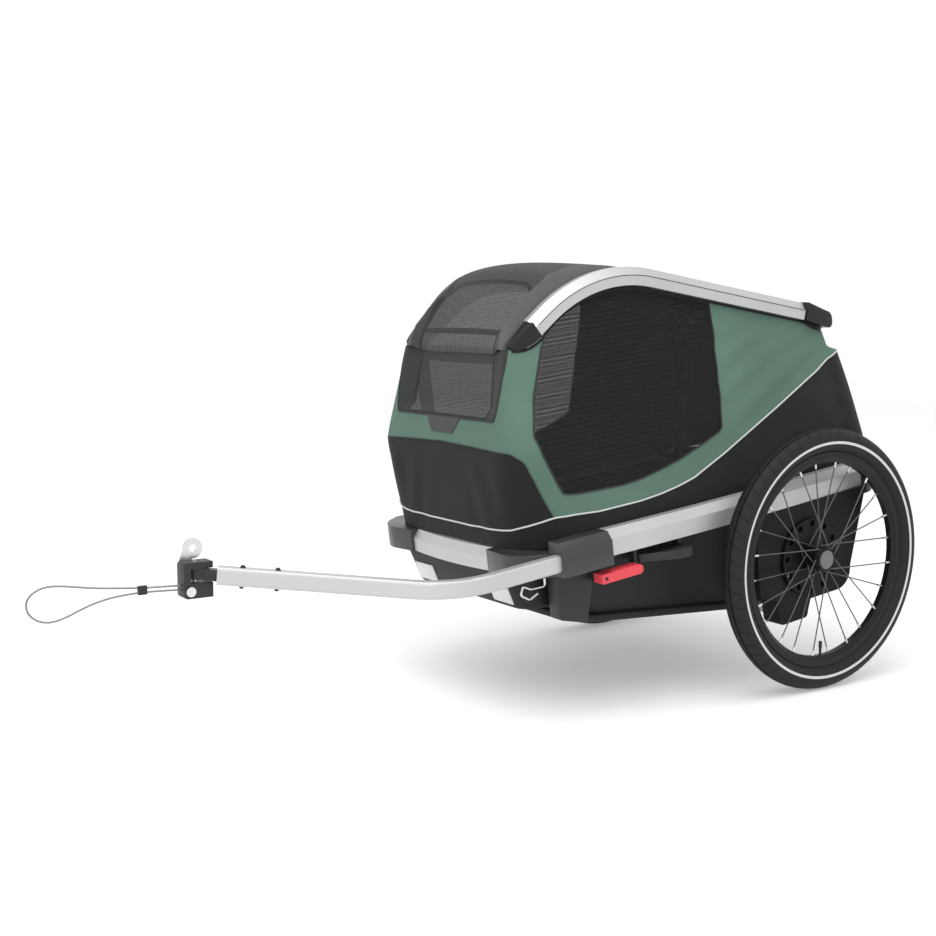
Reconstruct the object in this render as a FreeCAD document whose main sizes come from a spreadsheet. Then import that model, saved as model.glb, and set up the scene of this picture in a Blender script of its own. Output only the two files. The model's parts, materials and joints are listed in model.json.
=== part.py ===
import FreeCAD, Part
import math
import os
from types import SimpleNamespace

import Sketcher

# A two-wheeled dog trailer for a bicycle, in millimetres.
# Trailer frame: +X forward to the hitch, +Y to the trailer's left, +Z up, ground at z = 0.
# Frame coordinates u, v, w: u forward along the side rails, v to the left, w square to the rails.

Vector = FreeCAD.Vector
doc = FreeCAD.newDocument("dog_bike_trailer")

# Driving dimensions
sizes = {
    # Stance
    "wheel_radius": 250,
    "wheel_track": 666,
    "rail_height": 380,
    "frame_tilt": 7.2,
    # Wheel
    "tyre_width": 46,
    "tyre_wall": 3.5,
    "bead_angle": 25,
    "tread_groove": 1.6,
    "tube_clearance": 0.4,
    "tube_wall": 1.6,
    "rim_width": 25,
    "rim_depth": 20,
    "rim_well": 6,
    "bead_seat_gap": 0.2,
    "spoke_diameter": 2.4,
    "spoke_cross": 60,
    "nipple_length": 12,
    "hub_radius": 17,
    "flange_radius": 25,
    "flange_thickness": 3,
    "hub_outer_flange": 1,
    "hub_inner_flange": -24,
    "hub_cup_depth": 10,
    "bearing_radius": 13,
    "bearing_width": 8,
    "axle_radius": 6,
    "running_gap": 0.05,
    "button_radius": 18,
    "button_thickness": 6,
    "button_stem_radius": 3,
    "button_stem_length": 28,
    "button_lift": 4.5,
    "valve_length": 26,
    "brake_ring_radius": 75,
    "brake_hole_circle": 65,
    "brake_hole_radius": 6,
    "brake_ring_thickness": 4,
    "brake_ring_standoff": 3.2,
    "brake_ring_collar": 19.5,
    "brake_pin_radius": 4.5,
    "brake_pin_length": 32,
    "brake_pin_angle": 30,
    # Base frame
    "rail_width": 28,
    "rail_depth": 46,
    "rail_wall": 2.5,
    "rail_bevel_run": 12,
    "rail_bevel_drop": 16,
    "rail_inner": 270,
    "rail_front": 490,
    "rail_rear": -152,
    "rail_bow_radius": 5000,
    "end_rail_depth": 40,
    "end_rail_drop": 20,
    "front_rail_inner": 618,
    "front_rail_half": 125,
    "front_bow_radius": 900,
    "rear_rail_inner": -178,
    "rear_rail_half": 190,
    "fit_gap": 0.3,
    "corner_front": 598,
    "corner_inner": 258,
    "corner_outer": 300,
    "corner_top": 24,
    "corner_low": -36,
    "corner_radius": 75,
    "rear_corner_radius": 48,
    # Tub
    "tub_front": 603,
    "tub_rear": -168,
    "tub_half": 254,
    "tub_front_radius": 85,
    "tub_rear_radius": 45,
    "tub_rim": -8,
    "tub_wall": 4,
    "tub_depth": 226,
    "tub_floor_slope": 10,
    "floor_front": 545,
    "floor_rear": -80,
    "floor_half": 228,
    "floor_radius": 55,
    "pad_thickness": 18,
    "pad_margin": 24,
    "housing_outer": 298,
    "housing_skin": 6,
    "housing_front": 150,
    "housing_foot_drop": 34,
    "beam_radius": 13,
    "reflector_width": 44,
    "reflector_height": 30,
    "reflector_thickness": 2.5,
    # Brake pedal and drawbar release
    "pedal_length": 96,
    "pedal_reach": 58,
    "pedal_thickness": 15,
    "pedal_rear": 318,
    "pedal_drop": 46,
    "lever_length": 92,
    "lever_height": 17,
    "lever_width": 26,
    "lever_front": 516,
    "lever_drop": 58,
    # Drawbar and hitch
    "drawbar_width": 23,
    "drawbar_height": 30,
    "drawbar_wall": 2.5,
    "drawbar_corner": 6,
    "drawbar_v": 281,
    "drawbar_w": -12,
    "drawbar_insert": 92,
    "drawbar_bend_x": 800,
    "drawbar_bend_radius": 260,
    "hitch_x": 1165,
    "hitch_y": 80,
    "hitch_z": 305,
    "tongue_width": 20,
    "tongue_height": 18,
    "tongue_length": 112,
    "drawbar_end_gap": 36,
    "bolt_radius": 3,
    "bolt_head_radius": 5,
    "bolt_head_height": 4,
    "bolt_spacing": 56,
    "head_width": 30,
    "head_front": 24,
    "head_back": 25,
    "head_top": 20,
    "head_low": 38,
    "slot_top": 9.6,
    "slot_low": 14,
    "slot_front": 12,
    "pivot_pin_radius": 4,
    "lock_pin_radius": 4,
    "lock_head_radius": 8,
    "lock_pin_x": 14,
    "lock_pin_z": -26,
    "plate_thickness": 4,
    "plate_eye_radius": 16.5,
    "plate_bore_radius": 6.1,
    "plate_eye_x": -4,
    "plate_eye_z": 38,
    "plate_shank": 16,
    "leash_diameter": 3,
    # Folding cabin frame
    "link_length": 140,
    "link_width": 22,
    "link_thickness": 14,
    "link_v": 193,
    "front_link_v": 172,
    "link_gap": 1,
    "fold_pin_radius": 5,
    "front_pivot_u": 556,
    "front_pivot_w": 46,
    "rear_pivot_u": -120,
    "rear_pivot_w": 10,
    "bracket_thickness": 5.5,
    "arch_v": 206,
    "arch_toe": 36,
    "arch_end_wall": 3,
    "arch_width": 26,
    "arch_height": 33,
    "arch_bevel_run": 13,
    "arch_bevel_drop": 15,
    "arch_front_u": 524,
    "arch_front_w": 379,
    "arch_peak_u": 386,
    "arch_peak_w": 472,
    "arch_rear_u": -99,
    "arch_rear_w": 328,
    "arch_radius": 275,
    "cap_rear_u": -168,
    "cap_rear_w": 298,
    "cross_bar_radius": 9,
    # Fabric
    "cloth": 3,
    "cover_low": 3,
    "cover_split": 272,
    "cover_low_half": 255,
    "cover_mid_half": 240,
    "cover_split_half": 222,
    "cover_top_half": 205,
    "cover_shoulder": 330,
    "cover_front_low": 628,
    "cover_front_mid": 634,
    "cover_front_split": 614,
    "cover_rear_low": -222,
    "cover_rear_mid": -200,
    "cover_rear_split": -163,
    "cover_corner": 60,
    "cover_mid": 140,
}

sheet = doc.addObject("Spreadsheet::Sheet", "Sizes")
for row, (name, value) in enumerate(sizes.items(), 1):
    sheet.set(f"A{row}", name)
    sheet.set(f"B{row}", str(value))
    sheet.setAlias(f"B{row}", name)
doc.recompute()


class Size:
    # A length or angle that carries its value and the sheet expression it comes from
    def __init__(self, value, text):
        self.value = float(value)
        self.text = text

    def __add__(self, other):
        return Size(self.value + number(other), f"({self.text} + {expression(other)})")

    __radd__ = __add__

    def __sub__(self, other):
        return Size(self.value - number(other), f"({self.text} - {expression(other)})")

    def __rsub__(self, other):
        return Size(number(other) - self.value, f"({expression(other)} - {self.text})")

    def __mul__(self, other):
        return Size(self.value * number(other), f"({self.text} * {expression(other)})")

    __rmul__ = __mul__

    def __truediv__(self, other):
        return Size(self.value / number(other), f"({self.text} / {expression(other)})")

    def __neg__(self):
        return Size(-self.value, f"(-1 * {self.text})")


def number(value):
    return value.value if isinstance(value, Size) else float(value)


def expression(value):
    return value.text if isinstance(value, Size) else f"({float(value)})"


def cosine(angle):
    return Size(math.cos(math.radians(angle.value)), f"cos({angle.text} * 1 deg)")


def sine(angle):
    return Size(math.sin(math.radians(angle.value)), f"sin({angle.text} * 1 deg)")


d = SimpleNamespace(**{name: Size(sheet.get(name), f"Sizes.{name}") for name in sizes})
axle_x = (d.wheel_radius - d.hitch_x - d.head_front) / 2
half_track = d.wheel_track / 2
subparts = []


def bind(obj, prop, value):
    if isinstance(value, Size):
        obj.setExpression(prop, value.text)
    else:
        setattr(obj, prop, value)


def place(obj, x=0, y=0, z=0, axis=None, angle=0):
    if axis is not None:
        obj.Placement = FreeCAD.Placement(Vector(0, 0, 0), FreeCAD.Rotation(axis, number(angle)))
        if isinstance(angle, Size):
            obj.setExpression(".Placement.Rotation.Angle", angle.text)
    for letter, value in zip("xyz", (x, y, z)):
        obj.setExpression(f".Placement.Base.{letter}", expression(value))
    return obj


def on_ground(obj, x=0, y=0, z=0, axis=None, angle=0):
    return place(obj, axle_x + x, y, z, axis, angle)


def on_frame(obj):
    return place(obj, axle_x, 0, d.rail_height, Vector(0, 1, 0), d.frame_tilt)


def finished(obj, label):
    obj.Label = label
    subparts.append(obj)
    return obj


def new(kind, **links):
    obj = doc.addObject(kind, "shape")
    for prop, value in links.items():
        setattr(obj, prop, value)
    return obj


planes = {
    "XY": FreeCAD.Rotation(),
    "XZ": FreeCAD.Rotation(Vector(1, 0, 0), 90),
    "YZ": FreeCAD.Rotation(0.5, 0.5, 0.5, 0.5),
}


def arc_points(start, end, radius):
    # Middle and centre of the minor arc; a positive radius turns left on the way
    begin, finish = Vector(*start, 0), Vector(*end, 0)
    chord = finish - begin
    left = Vector(-chord.y, chord.x, 0).normalize()
    turn = math.copysign(1, radius)
    reach = math.sqrt(max(radius ** 2 - (chord.Length / 2) ** 2, 0))
    centre = (begin + finish) * 0.5 + left * (turn * reach)
    return centre - left * radius, centre


def fix_point(sketch, geo, pos, x, y):
    for kind, value in (("DistanceX", x), ("DistanceY", y)):
        index = sketch.addConstraint(Sketcher.Constraint(kind, -1, 1, geo, pos, number(value)))
        if isinstance(value, Size):
            sketch.setExpression(f"Constraints[{index}]", value.text)


def fix_radius(sketch, geo, radius):
    index = sketch.addConstraint(Sketcher.Constraint("Radius", geo, abs(number(radius))))
    if isinstance(radius, Size):
        sketch.setExpression(f"Constraints[{index}]", f"abs({radius.text})")


def add_loop(sketch, loop):
    # A loop is (x, y, radius) for a circle, or a list of corners: (x, y), or
    # (x, y, radius) where an arc of that radius ends at the corner
    if isinstance(loop, tuple):
        x, y, radius = loop
        circle = Part.Circle(Vector(number(x), number(y), 0), Vector(0, 0, 1), number(radius))
        geo = sketch.addGeometry(circle)
        fix_point(sketch, geo, 3, x, y)
        fix_radius(sketch, geo, radius)
        return
    edges = []
    for before, corner in zip([loop[-1]] + loop[:-1], loop):
        start = (number(before[0]), number(before[1]))
        end = (number(corner[0]), number(corner[1]))
        if len(corner) == 2:
            geo = sketch.addGeometry(Part.LineSegment(Vector(*start, 0), Vector(*end, 0)))
            edges.append((geo, 1, 2))
            continue
        radius = number(corner[2])
        middle, _ = arc_points(start, end, radius)
        geo = sketch.addGeometry(Part.Arc(Vector(*start, 0), middle, Vector(*end, 0)))
        edges.append((geo, 1, 2) if radius > 0 else (geo, 2, 1))
        fix_radius(sketch, geo, corner[2])
    for (geo, _, last), (following, first, _), corner in zip(edges, edges[1:] + edges[:1], loop):
        sketch.addConstraint(Sketcher.Constraint("Coincident", geo, last, following, first))
        fix_point(sketch, geo, last, corner[0], corner[1])


def outline(loops, plane="XY", x=0, y=0, z=0):
    sketch = doc.addObject("Sketcher::SketchObject", "outline")
    for loop in loops:
        add_loop(sketch, loop)
    sketch.Placement = FreeCAD.Placement(Vector(0, 0, 0), planes[plane])
    for letter, value in zip("xyz", (x, y, z)):
        sketch.setExpression(f".Placement.Base.{letter}", expression(value))
    return sketch


def extrude(sketch, length, symmetric=False):
    solid = new("Part::Extrusion", Base=sketch, DirMode="Normal", Solid=True, Symmetric=symmetric)
    bind(solid, "LengthFwd", length)
    return solid


def revolve(sketch, axis, base=(0, 0, 0), angle=360):
    solid = new("Part::Revolution", Source=sketch, Axis=axis, Solid=True, Symmetric=True)
    bind(solid, "Angle", angle)
    for letter, value in zip("xyz", base):
        solid.setExpression(f".Base.{letter}", expression(value))
    return solid


def cylinder(radius, length, x=0, y=0, z=0, axis=Vector(0, 0, 1)):
    solid = new("Part::Cylinder")
    bind(solid, "Radius", radius)
    bind(solid, "Height", length)
    turn = FreeCAD.Rotation(Vector(0, 0, 1), axis)
    return place(solid, x, y, z, turn.Axis, math.degrees(turn.Angle))


def box(length, width, height, x=0, y=0, z=0):
    solid = new("Part::Box")
    for prop, value in (("Length", length), ("Width", width), ("Height", height)):
        bind(solid, prop, value)
    return place(solid, x, y, z)


def cut(solid, tool):
    return new("Part::Cut", Base=solid, Tool=tool)


def fuse(*solids):
    return new("Part::MultiFuse", Shapes=list(solids))


def group(*solids):
    return new("Part::Compound", Links=list(solids))


def common(solid, tool):
    return new("Part::Common", Base=solid, Tool=tool)


def loft(*sketches):
    return new("Part::Loft", Sections=list(sketches), Solid=True, Ruled=False)


def shaped(shape):
    obj = doc.addObject("Part::Feature", "shape")
    obj.Shape = shape
    return obj


along_y = Vector(0, 1, 0)
along_z = Vector(0, 0, 1)
sides = (("left", 1), ("right", -1))


# Wheels: built about their own centre with +Y outboard, then turned round for the right side
def put_wheel_piece(obj, name, side_name, side):
    turn = 0 if side > 0 else 180
    on_ground(obj, 0, half_track * side, d.wheel_radius, along_z, turn)
    return finished(obj, f"{name}_{side_name}")


tyre_centre = d.wheel_radius - d.tyre_width / 2
bead_radius = tyre_centre - d.tyre_width / 2 * cosine(d.bead_angle)
rim_top = bead_radius - d.bead_seat_gap
rim_base = rim_top - d.rim_depth


def make_tyre():
    outer = d.tyre_width / 2
    inner = outer - d.tyre_wall
    bead = bead_radius
    bead_y = outer * sine(d.bead_angle)
    lip = tyre_centre - inner * cosine(d.bead_angle)
    lip_y = inner * sine(d.bead_angle)
    carcass = [
        (bead, -bead_y), (tyre_centre, -outer, outer), (d.wheel_radius, 0, outer),
        (tyre_centre, outer, outer), (bead, bead_y, outer), (lip, lip_y),
        (tyre_centre, inner, -inner), (tyre_centre + inner, 0, -inner),
        (tyre_centre, -inner, -inner), (lip, -lip_y, -inner),
    ]
    tyre = revolve(outline([carcass]), along_y)
    top = d.wheel_radius + 1
    floor = d.wheel_radius - d.tread_groove
    for place_y in (-d.tyre_width / 7, d.tyre_width / 7):
        groove = [
            (floor - 0.6, place_y - 1.2), (top, place_y - 1.2), (top, place_y + 1.2),
            (floor - 0.6, place_y + 1.2),
        ]
        tyre = cut(tyre, revolve(outline([groove]), along_y))
    return tyre


def make_inner_tube():
    skin = d.tyre_width / 2 - d.tyre_wall - d.tube_clearance
    rings = []
    for radius in (skin, skin - d.tube_wall):
        ring = new("Part::Torus")
        bind(ring, "Radius1", tyre_centre)
        bind(ring, "Radius2", radius)
        ring.Placement.Rotation = FreeCAD.Rotation(Vector(1, 0, 0), 90)
        rings.append(ring)
    tube = cut(*rings)
    cap = cylinder(3.4, d.valve_length * 0.45, z=-rim_base + d.valve_length * 0.55 + 0.2)
    stem = cylinder(2.6, d.valve_length * 0.56, z=-rim_base + 0.2)
    return group(tube, fuse(stem, cap))


def make_rim():
    half = d.rim_width / 2
    lip = 2.5
    well = rim_top - d.rim_well
    nose = half * 0.45
    section = [
        (rim_top, -half), (rim_top, -half + lip), (well, -half + lip * 2), (well, half - lip * 2),
        (rim_top, half - lip), (rim_top, half), (rim_base + d.rim_depth * 0.4, half), (rim_base, nose),
        (rim_base, -nose), (rim_base + d.rim_depth * 0.4, -half),
    ]
    return revolve(outline([section]), along_y)


def make_spokes():
    # Twelve spokes a flange, laced two-cross, each with its nipple in the rim
    rim = rim_base.value
    flange = d.flange_radius.value - 3
    wires = []
    for index in range(24):
        outboard = index % 2 == 0
        lead = 1 if (index // 2) % 2 == 0 else -1
        rim_angle = math.radians(15 * index + 7.5)
        hub_angle = rim_angle + math.radians(d.spoke_cross.value) * lead
        middle = (d.hub_outer_flange if outboard else d.hub_inner_flange).value
        flange_y = middle + lead * (d.flange_thickness.value / 2 + d.spoke_diameter.value / 2)
        rim_y = 3 if outboard else -3
        start = Vector(flange * math.cos(hub_angle), flange_y, flange * math.sin(hub_angle))
        end = Vector((rim + 1) * math.cos(rim_angle), rim_y, (rim + 1) * math.sin(rim_angle))
        run = end - start
        spoke = Part.makeCylinder(d.spoke_diameter.value / 2, run.Length, start, run)
        run.normalize()
        foot = end - run * d.nipple_length.value
        nipple = Part.makeCylinder(d.spoke_diameter.value * 0.85, d.nipple_length.value, foot, run)
        wires.append(spoke.fuse(nipple))
    return shaped(Part.makeCompound(wires))


def make_hub():
    outer = d.hub_outer_flange
    inner = d.hub_inner_flange
    half = d.flange_thickness / 2
    cup_edge = outer + half + d.hub_cup_depth - 2
    cup_floor = outer + half - 1
    cup = d.button_radius + 0.8
    inner_end = inner - half
    profile = [
        (d.bearing_radius, inner_end), (d.flange_radius, inner_end), (d.flange_radius, inner + half),
        (d.hub_radius, inner + half), (d.hub_radius, outer - half), (d.flange_radius, outer - half),
        (d.flange_radius, outer + half), (cup + 3, cup_edge), (cup, cup_edge), (cup, cup_floor),
        (d.bearing_radius, cup_floor), (d.bearing_radius, cup_floor - d.bearing_width),
        (d.bearing_radius - 4, cup_floor - d.bearing_width),
        (d.bearing_radius - 4, inner_end + d.bearing_width),
        (d.bearing_radius, inner_end + d.bearing_width),
    ]
    return revolve(outline([profile]), along_y)


def make_bearings():
    outer = d.hub_outer_flange + d.flange_thickness / 2 - 1 - d.bearing_width
    inner = d.hub_inner_flange - d.flange_thickness / 2
    rings = []
    for low in (inner, outer):
        ring = [
            (d.axle_radius + d.running_gap, low), (d.bearing_radius, low),
            (d.bearing_radius, low + d.bearing_width), (d.axle_radius + d.running_gap, low + d.bearing_width),
        ]
        rings.append(revolve(outline([ring]), along_y))
    return group(*rings)


def make_brake_ring():
    face = d.hub_inner_flange - d.flange_thickness / 2
    holes = [
        (d.brake_hole_circle * math.cos(math.radians(30 * step)),
         d.brake_hole_circle * math.sin(math.radians(30 * step)), d.brake_hole_radius)
        for step in range(12)
    ]
    disc = (0, 0, d.brake_ring_radius)
    bore = (0, 0, d.bearing_radius + d.fit_gap)
    back = face - d.brake_ring_standoff
    plate = extrude(outline([disc, bore] + holes, "XZ", y=back), d.brake_ring_thickness)
    collar = extrude(outline([(0, 0, d.brake_ring_collar), bore], "XZ", y=face), d.brake_ring_standoff + 1)
    return fuse(plate, collar)


def make_axle():
    outer = d.hub_outer_flange + d.flange_thickness / 2 - 2
    inner = d.rail_inner - 2 - half_track
    profile = [
        (d.button_stem_radius + d.running_gap, outer),
        (d.button_stem_radius + d.running_gap, outer - d.button_stem_length - 6),
        (0, outer - d.button_stem_length - 6), (0, inner), (d.axle_radius, inner), (d.axle_radius, outer),
    ]
    return revolve(outline([profile]), along_y)


def make_button():
    low = d.hub_outer_flange + d.flange_thickness / 2 - 1 + d.button_lift
    crown = 1.5
    profile = [
        (0, low - d.button_stem_length), (d.button_stem_radius, low - d.button_stem_length),
        (d.button_stem_radius, low), (d.button_radius, low),
        (d.button_radius, low + d.button_thickness - crown),
        (d.button_radius - 3, low + d.button_thickness), (0, low + d.button_thickness),
    ]
    return revolve(outline([profile]), along_y)


wheel_pieces = (
    ("tyre", make_tyre), ("inner_tube", make_inner_tube), ("rim", make_rim), ("spokes", make_spokes),
    ("hub", make_hub), ("hub_bearings", make_bearings), ("brake_ring", make_brake_ring),
    ("hub_button", make_button),
)
for side_name, side in sides:
    for piece_name, make in wheel_pieces:
        put_wheel_piece(make(), piece_name, side_name, side)
axles = [
    on_ground(make_axle(), 0, half_track * side, d.wheel_radius, along_z, 90 - 90 * side)
    for _, side in sides
]
finished(group(*axles), "axles")


# Base frame rails: one bevelled tube section, bowed outwards
def rail_loops(inner, out, middle, depth):
    high = middle + depth / 2
    low = middle - depth / 2
    wall = d.rail_wall
    edge = inner + d.rail_width * out
    face = inner + (d.rail_width - d.rail_bevel_run) * out
    shell = [
        (inner, low), (edge, low), (edge, high - d.rail_bevel_drop), (face, high), (inner, high),
    ]
    hollow = [
        (inner + wall * out, low + wall), (edge - wall * out, low + wall),
        (edge - wall * out, high - d.rail_bevel_drop - wall / 2), (face - wall / 2 * out, high - wall),
        (inner + wall * out, high - wall),
    ]
    return [shell, hollow]


degrees_per_radian = 180 / math.pi
rail_length = d.rail_front - d.rail_rear
rail_middle = (d.rail_front + d.rail_rear) / 2
for side_name, side in sides:
    section = outline(rail_loops(d.rail_inner * side, side, 0, d.rail_depth), "YZ", x=rail_middle)
    axis_at = (rail_middle, (d.rail_inner - d.rail_bow_radius) * side, 0)
    turn = rail_length / (d.rail_bow_radius + d.rail_width) * degrees_per_radian
    rail = revolve(section, along_z, axis_at, turn)
    finished(on_frame(rail), f"side_rail_{side_name}")

front_section = outline(rail_loops(d.front_rail_inner, 1, -d.end_rail_drop, d.end_rail_depth), "XZ")
front_turn = d.front_rail_half * 2 / d.front_bow_radius * degrees_per_radian
front_rail = revolve(front_section, along_z, (d.front_rail_inner - d.front_bow_radius, 0, 0), front_turn)
finished(on_frame(front_rail), "front_rail")

rear_section = outline(rail_loops(d.rear_rail_inner, -1, -d.end_rail_drop, d.end_rail_depth), "XZ")
finished(on_frame(extrude(rear_section, d.rear_rail_half * 2, symmetric=True)), "rear_rail")


# Moulded corners: a bevelled block on the rail's end and a curved arm to the front rail
def make_front_corner(side):
    high = d.corner_top
    block_section = [
        (d.corner_inner * side, d.corner_low), (d.corner_outer * side, d.corner_low),
        (d.corner_outer * side, high - d.rail_bevel_drop), ((d.corner_outer - d.rail_bevel_run) * side, high),
        (d.corner_inner * side, high),
    ]
    loops = [block_section]
    if side > 0:
        half = d.drawbar_width / 2 + d.fit_gap
        rise = d.drawbar_height / 2 + d.fit_gap
        loops.append([
            (d.drawbar_v - half, d.drawbar_w - rise), (d.drawbar_v + half, d.drawbar_w - rise),
            (d.drawbar_v + half, d.drawbar_w + rise), (d.drawbar_v - half, d.drawbar_w + rise),
        ])
    start = d.rail_front + d.fit_gap
    block = extrude(outline(loops, "YZ", x=start), d.corner_front - start)
    reach = d.front_rail_half * (d.front_bow_radius + d.rail_width) / d.front_bow_radius + d.fit_gap
    radius = d.corner_radius
    bend_u = d.front_rail_inner + d.rail_width + 2 - radius
    bend_v = d.corner_inner + 3 - radius
    tub_bend_u = d.tub_front - d.tub_front_radius
    tub_bend_v = d.tub_half - d.tub_front_radius
    inner = d.tub_front_radius + d.fit_gap * 4
    arm_loop = [
        (d.front_rail_inner - 12, reach * side), (d.front_rail_inner + d.rail_width - 4, reach * side),
        (bend_u + radius, bend_v * side), (bend_u, (bend_v + radius) * side, radius * side),
        (tub_bend_u, (bend_v + radius) * side), (tub_bend_u, (tub_bend_v + inner) * side),
        (tub_bend_u + inner, tub_bend_v * side, -inner * side),
    ]
    low = -d.end_rail_drop - d.end_rail_depth / 2 - 1
    arm = extrude(outline([arm_loop], z=low), d.end_rail_depth + 2)
    return fuse(block, arm)


def make_rear_corner(side):
    radius = d.rear_corner_radius
    start = d.rail_rear - d.fit_gap
    outer = d.rail_inner + d.rail_width - 8
    back = d.rear_rail_inner - d.rail_width - 2
    front = d.rear_rail_inner + 3
    reach = d.rear_rail_half + d.fit_gap
    inner = outer - d.rail_width - 4
    loop = [
        (start, inner * side), (start, outer * side), (back + radius, outer * side),
        (back, (outer - radius) * side, radius * side), (back, reach * side), (front, reach * side),
        (front, (inner - 12) * side), (front + 12, inner * side, -12 * side),
    ]
    low = -d.end_rail_drop - d.end_rail_depth / 2 - 1
    return extrude(outline([loop], z=low), d.end_rail_depth + 2)


for side_name, side in sides:
    finished(on_frame(make_front_corner(side)), f"front_corner_{side_name}")
    finished(on_frame(make_rear_corner(side)), f"rear_corner_{side_name}")


# Tub: a deep pan hung inside the rails, with a sloping floor
def pan_loop(rear, front, half, front_radius, rear_radius):
    return [
        (front - front_radius, -half), (front, -half + front_radius, front_radius),
        (front, half - front_radius),
        (front - front_radius, half, front_radius), (rear + rear_radius, half),
        (rear, half - rear_radius, rear_radius), (rear, -half + rear_radius),
        (rear + rear_radius, -half, rear_radius),
    ]


def floor_outline(lift, loop):
    sketch = outline([loop])
    place(sketch, 0, 0, lift - d.tub_depth, Vector(0, 1, 0), -1 * d.tub_floor_slope)
    return sketch


def tub_body(inset, lift, top):
    rim = pan_loop(d.tub_rear + inset, d.tub_front - inset, d.tub_half - inset, d.tub_front_radius - inset,
                   d.tub_rear_radius - inset)
    base = pan_loop(d.floor_rear + inset, d.floor_front - inset, d.floor_half - inset, d.floor_radius - inset,
                    d.floor_radius - inset)
    return loft(floor_outline(lift, base), outline([rim], z=top))


tub = cut(tub_body(0, 0, d.tub_rim), tub_body(d.tub_wall, d.tub_wall, d.tub_rim + 1))
finished(on_frame(tub), "tub")

pad_inset = d.tub_wall + d.pad_margin
pad_loop = pan_loop(d.floor_rear + pad_inset, d.floor_front - pad_inset, d.floor_half - pad_inset,
                    d.floor_radius, d.floor_radius)
pad_sketch = floor_outline(d.tub_wall + d.fit_gap, pad_loop)
finished(on_frame(extrude(pad_sketch, d.pad_thickness)), "floor_pad")


# Wheel housings: side mouldings that carry the axles and the cross beam
axle_u = (d.wheel_radius - d.rail_height) * -1 * sine(d.frame_tilt)
axle_w = (d.wheel_radius - d.rail_height) * cosine(d.frame_tilt)
housing_top = d.rail_depth / -2 - d.fit_gap
housing_low = axle_w - 84
foot_rear = axle_u + 12
foot_front = axle_u + 88
beam_u = axle_u + 50
beam_w = housing_low - d.housing_foot_drop + d.beam_radius + 4
pin_u = axle_u + d.brake_hole_circle * cosine(d.brake_pin_angle - d.frame_tilt)
pin_w = axle_w - d.brake_hole_circle * sine(d.brake_pin_angle - d.frame_tilt)


def make_housing(side):
    round_low = 40
    skin = d.housing_skin
    profile = [
        (d.rail_rear, housing_top), (d.rail_rear + 56, housing_low + round_low),
        (d.rail_rear + 56 + round_low, housing_low, round_low), (foot_rear - 10, housing_low),
        (foot_rear, housing_low - d.housing_foot_drop + 10),
        (foot_rear + 10, housing_low - d.housing_foot_drop, 10),
        (foot_front - 10, housing_low - d.housing_foot_drop),
        (foot_front, housing_low - d.housing_foot_drop + 10, 10),
        (foot_front + 4, housing_low + 16), (d.housing_front, housing_low + 30),
        (d.housing_front, housing_top),
    ]
    hollow = [
        (d.rail_rear + 12, housing_top - skin), (d.rail_rear + 64, housing_low + round_low + 6),
        (d.rail_rear + 100, housing_low + skin + 4), (foot_rear + 4, housing_low + skin),
        (foot_rear + 12, housing_low - d.housing_foot_drop + skin + 4),
        (foot_front - 12, housing_low - d.housing_foot_drop + skin + 4), (foot_front - 2, housing_low + 26),
        (d.housing_front - skin, housing_low + 34), (d.housing_front - skin, housing_top - skin),
    ]
    bosses = [(axle_u, axle_w, d.axle_radius + 9), (pin_u, pin_w, d.brake_pin_radius + 6)]
    bores = [
        (axle_u, axle_w, d.axle_radius + d.running_gap), (pin_u, pin_w, d.brake_pin_radius + d.running_gap),
    ]
    depth = d.housing_outer - d.tub_half - d.fit_gap
    start = d.housing_outer if side > 0 else d.tub_half * -1 - d.fit_gap
    pocket_start = start - skin if side > 0 else start + 1
    shell = cut(extrude(outline([profile], "XZ", y=start), depth),
                extrude(outline([hollow], "XZ", y=pocket_start), depth - skin + 1))
    filled = fuse(shell, *[extrude(outline([boss], "XZ", y=start), depth) for boss in bosses])
    for bore in bores:
        filled = cut(filled, extrude(outline([bore], "XZ", y=start + 1), depth + 2))
    return filled


for side_name, side in sides:
    finished(on_frame(make_housing(side)), f"wheel_housing_{side_name}")

beam_length = (d.tub_half + d.fit_gap) * 2
beam = cut(
    cylinder(d.beam_radius, beam_length, beam_u, beam_length / -2, beam_w, along_y),
    cylinder(d.beam_radius - d.rail_wall, beam_length, beam_u, beam_length / -2, beam_w, along_y),
)
finished(on_frame(beam), "axle_beam")

# Brake pins: they slide out of the housings into the holes of the brake rings
flange_face = half_track + d.hub_inner_flange - d.flange_thickness / 2
ring_face = flange_face - d.brake_ring_standoff - d.brake_ring_thickness
for side_name, side in sides:
    tip = ring_face - 1
    start = tip - d.brake_pin_length if side > 0 else tip * -1
    pin = cylinder(d.brake_pin_radius, d.brake_pin_length, pin_u, start, pin_w, along_y)
    finished(on_frame(group(pin)), f"brake_pin_{side_name}")


# Foot pedal of the parking brake, a paddle on a boss under the left rail
pedal_u = d.pedal_rear + d.pedal_length
pedal_w = d.pedal_drop * -1
pedal_v = d.tub_half + 6


def make_pedal():
    reach = pedal_v + d.pedal_reach
    blade_loop = [
        (d.pedal_rear, pedal_v), (pedal_u, pedal_v), (pedal_u, pedal_v + 14),
        (d.pedal_rear + 34, reach), (d.pedal_rear + 14, reach), (d.pedal_rear, reach - 14, 14),
    ]
    blade = extrude(outline([blade_loop], z=pedal_w - d.pedal_thickness / 2), d.pedal_thickness)
    barrel = cylinder(d.pedal_thickness / 2, d.pedal_length, d.pedal_rear, pedal_v, pedal_w, Vector(1, 0, 0))
    bore = cylinder(d.brake_pin_radius + d.running_gap, d.pedal_length + 2, d.pedal_rear - 1,
    pedal_v, pedal_w,
                    Vector(1, 0, 0))
    return cut(fuse(blade, barrel), bore)


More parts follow.
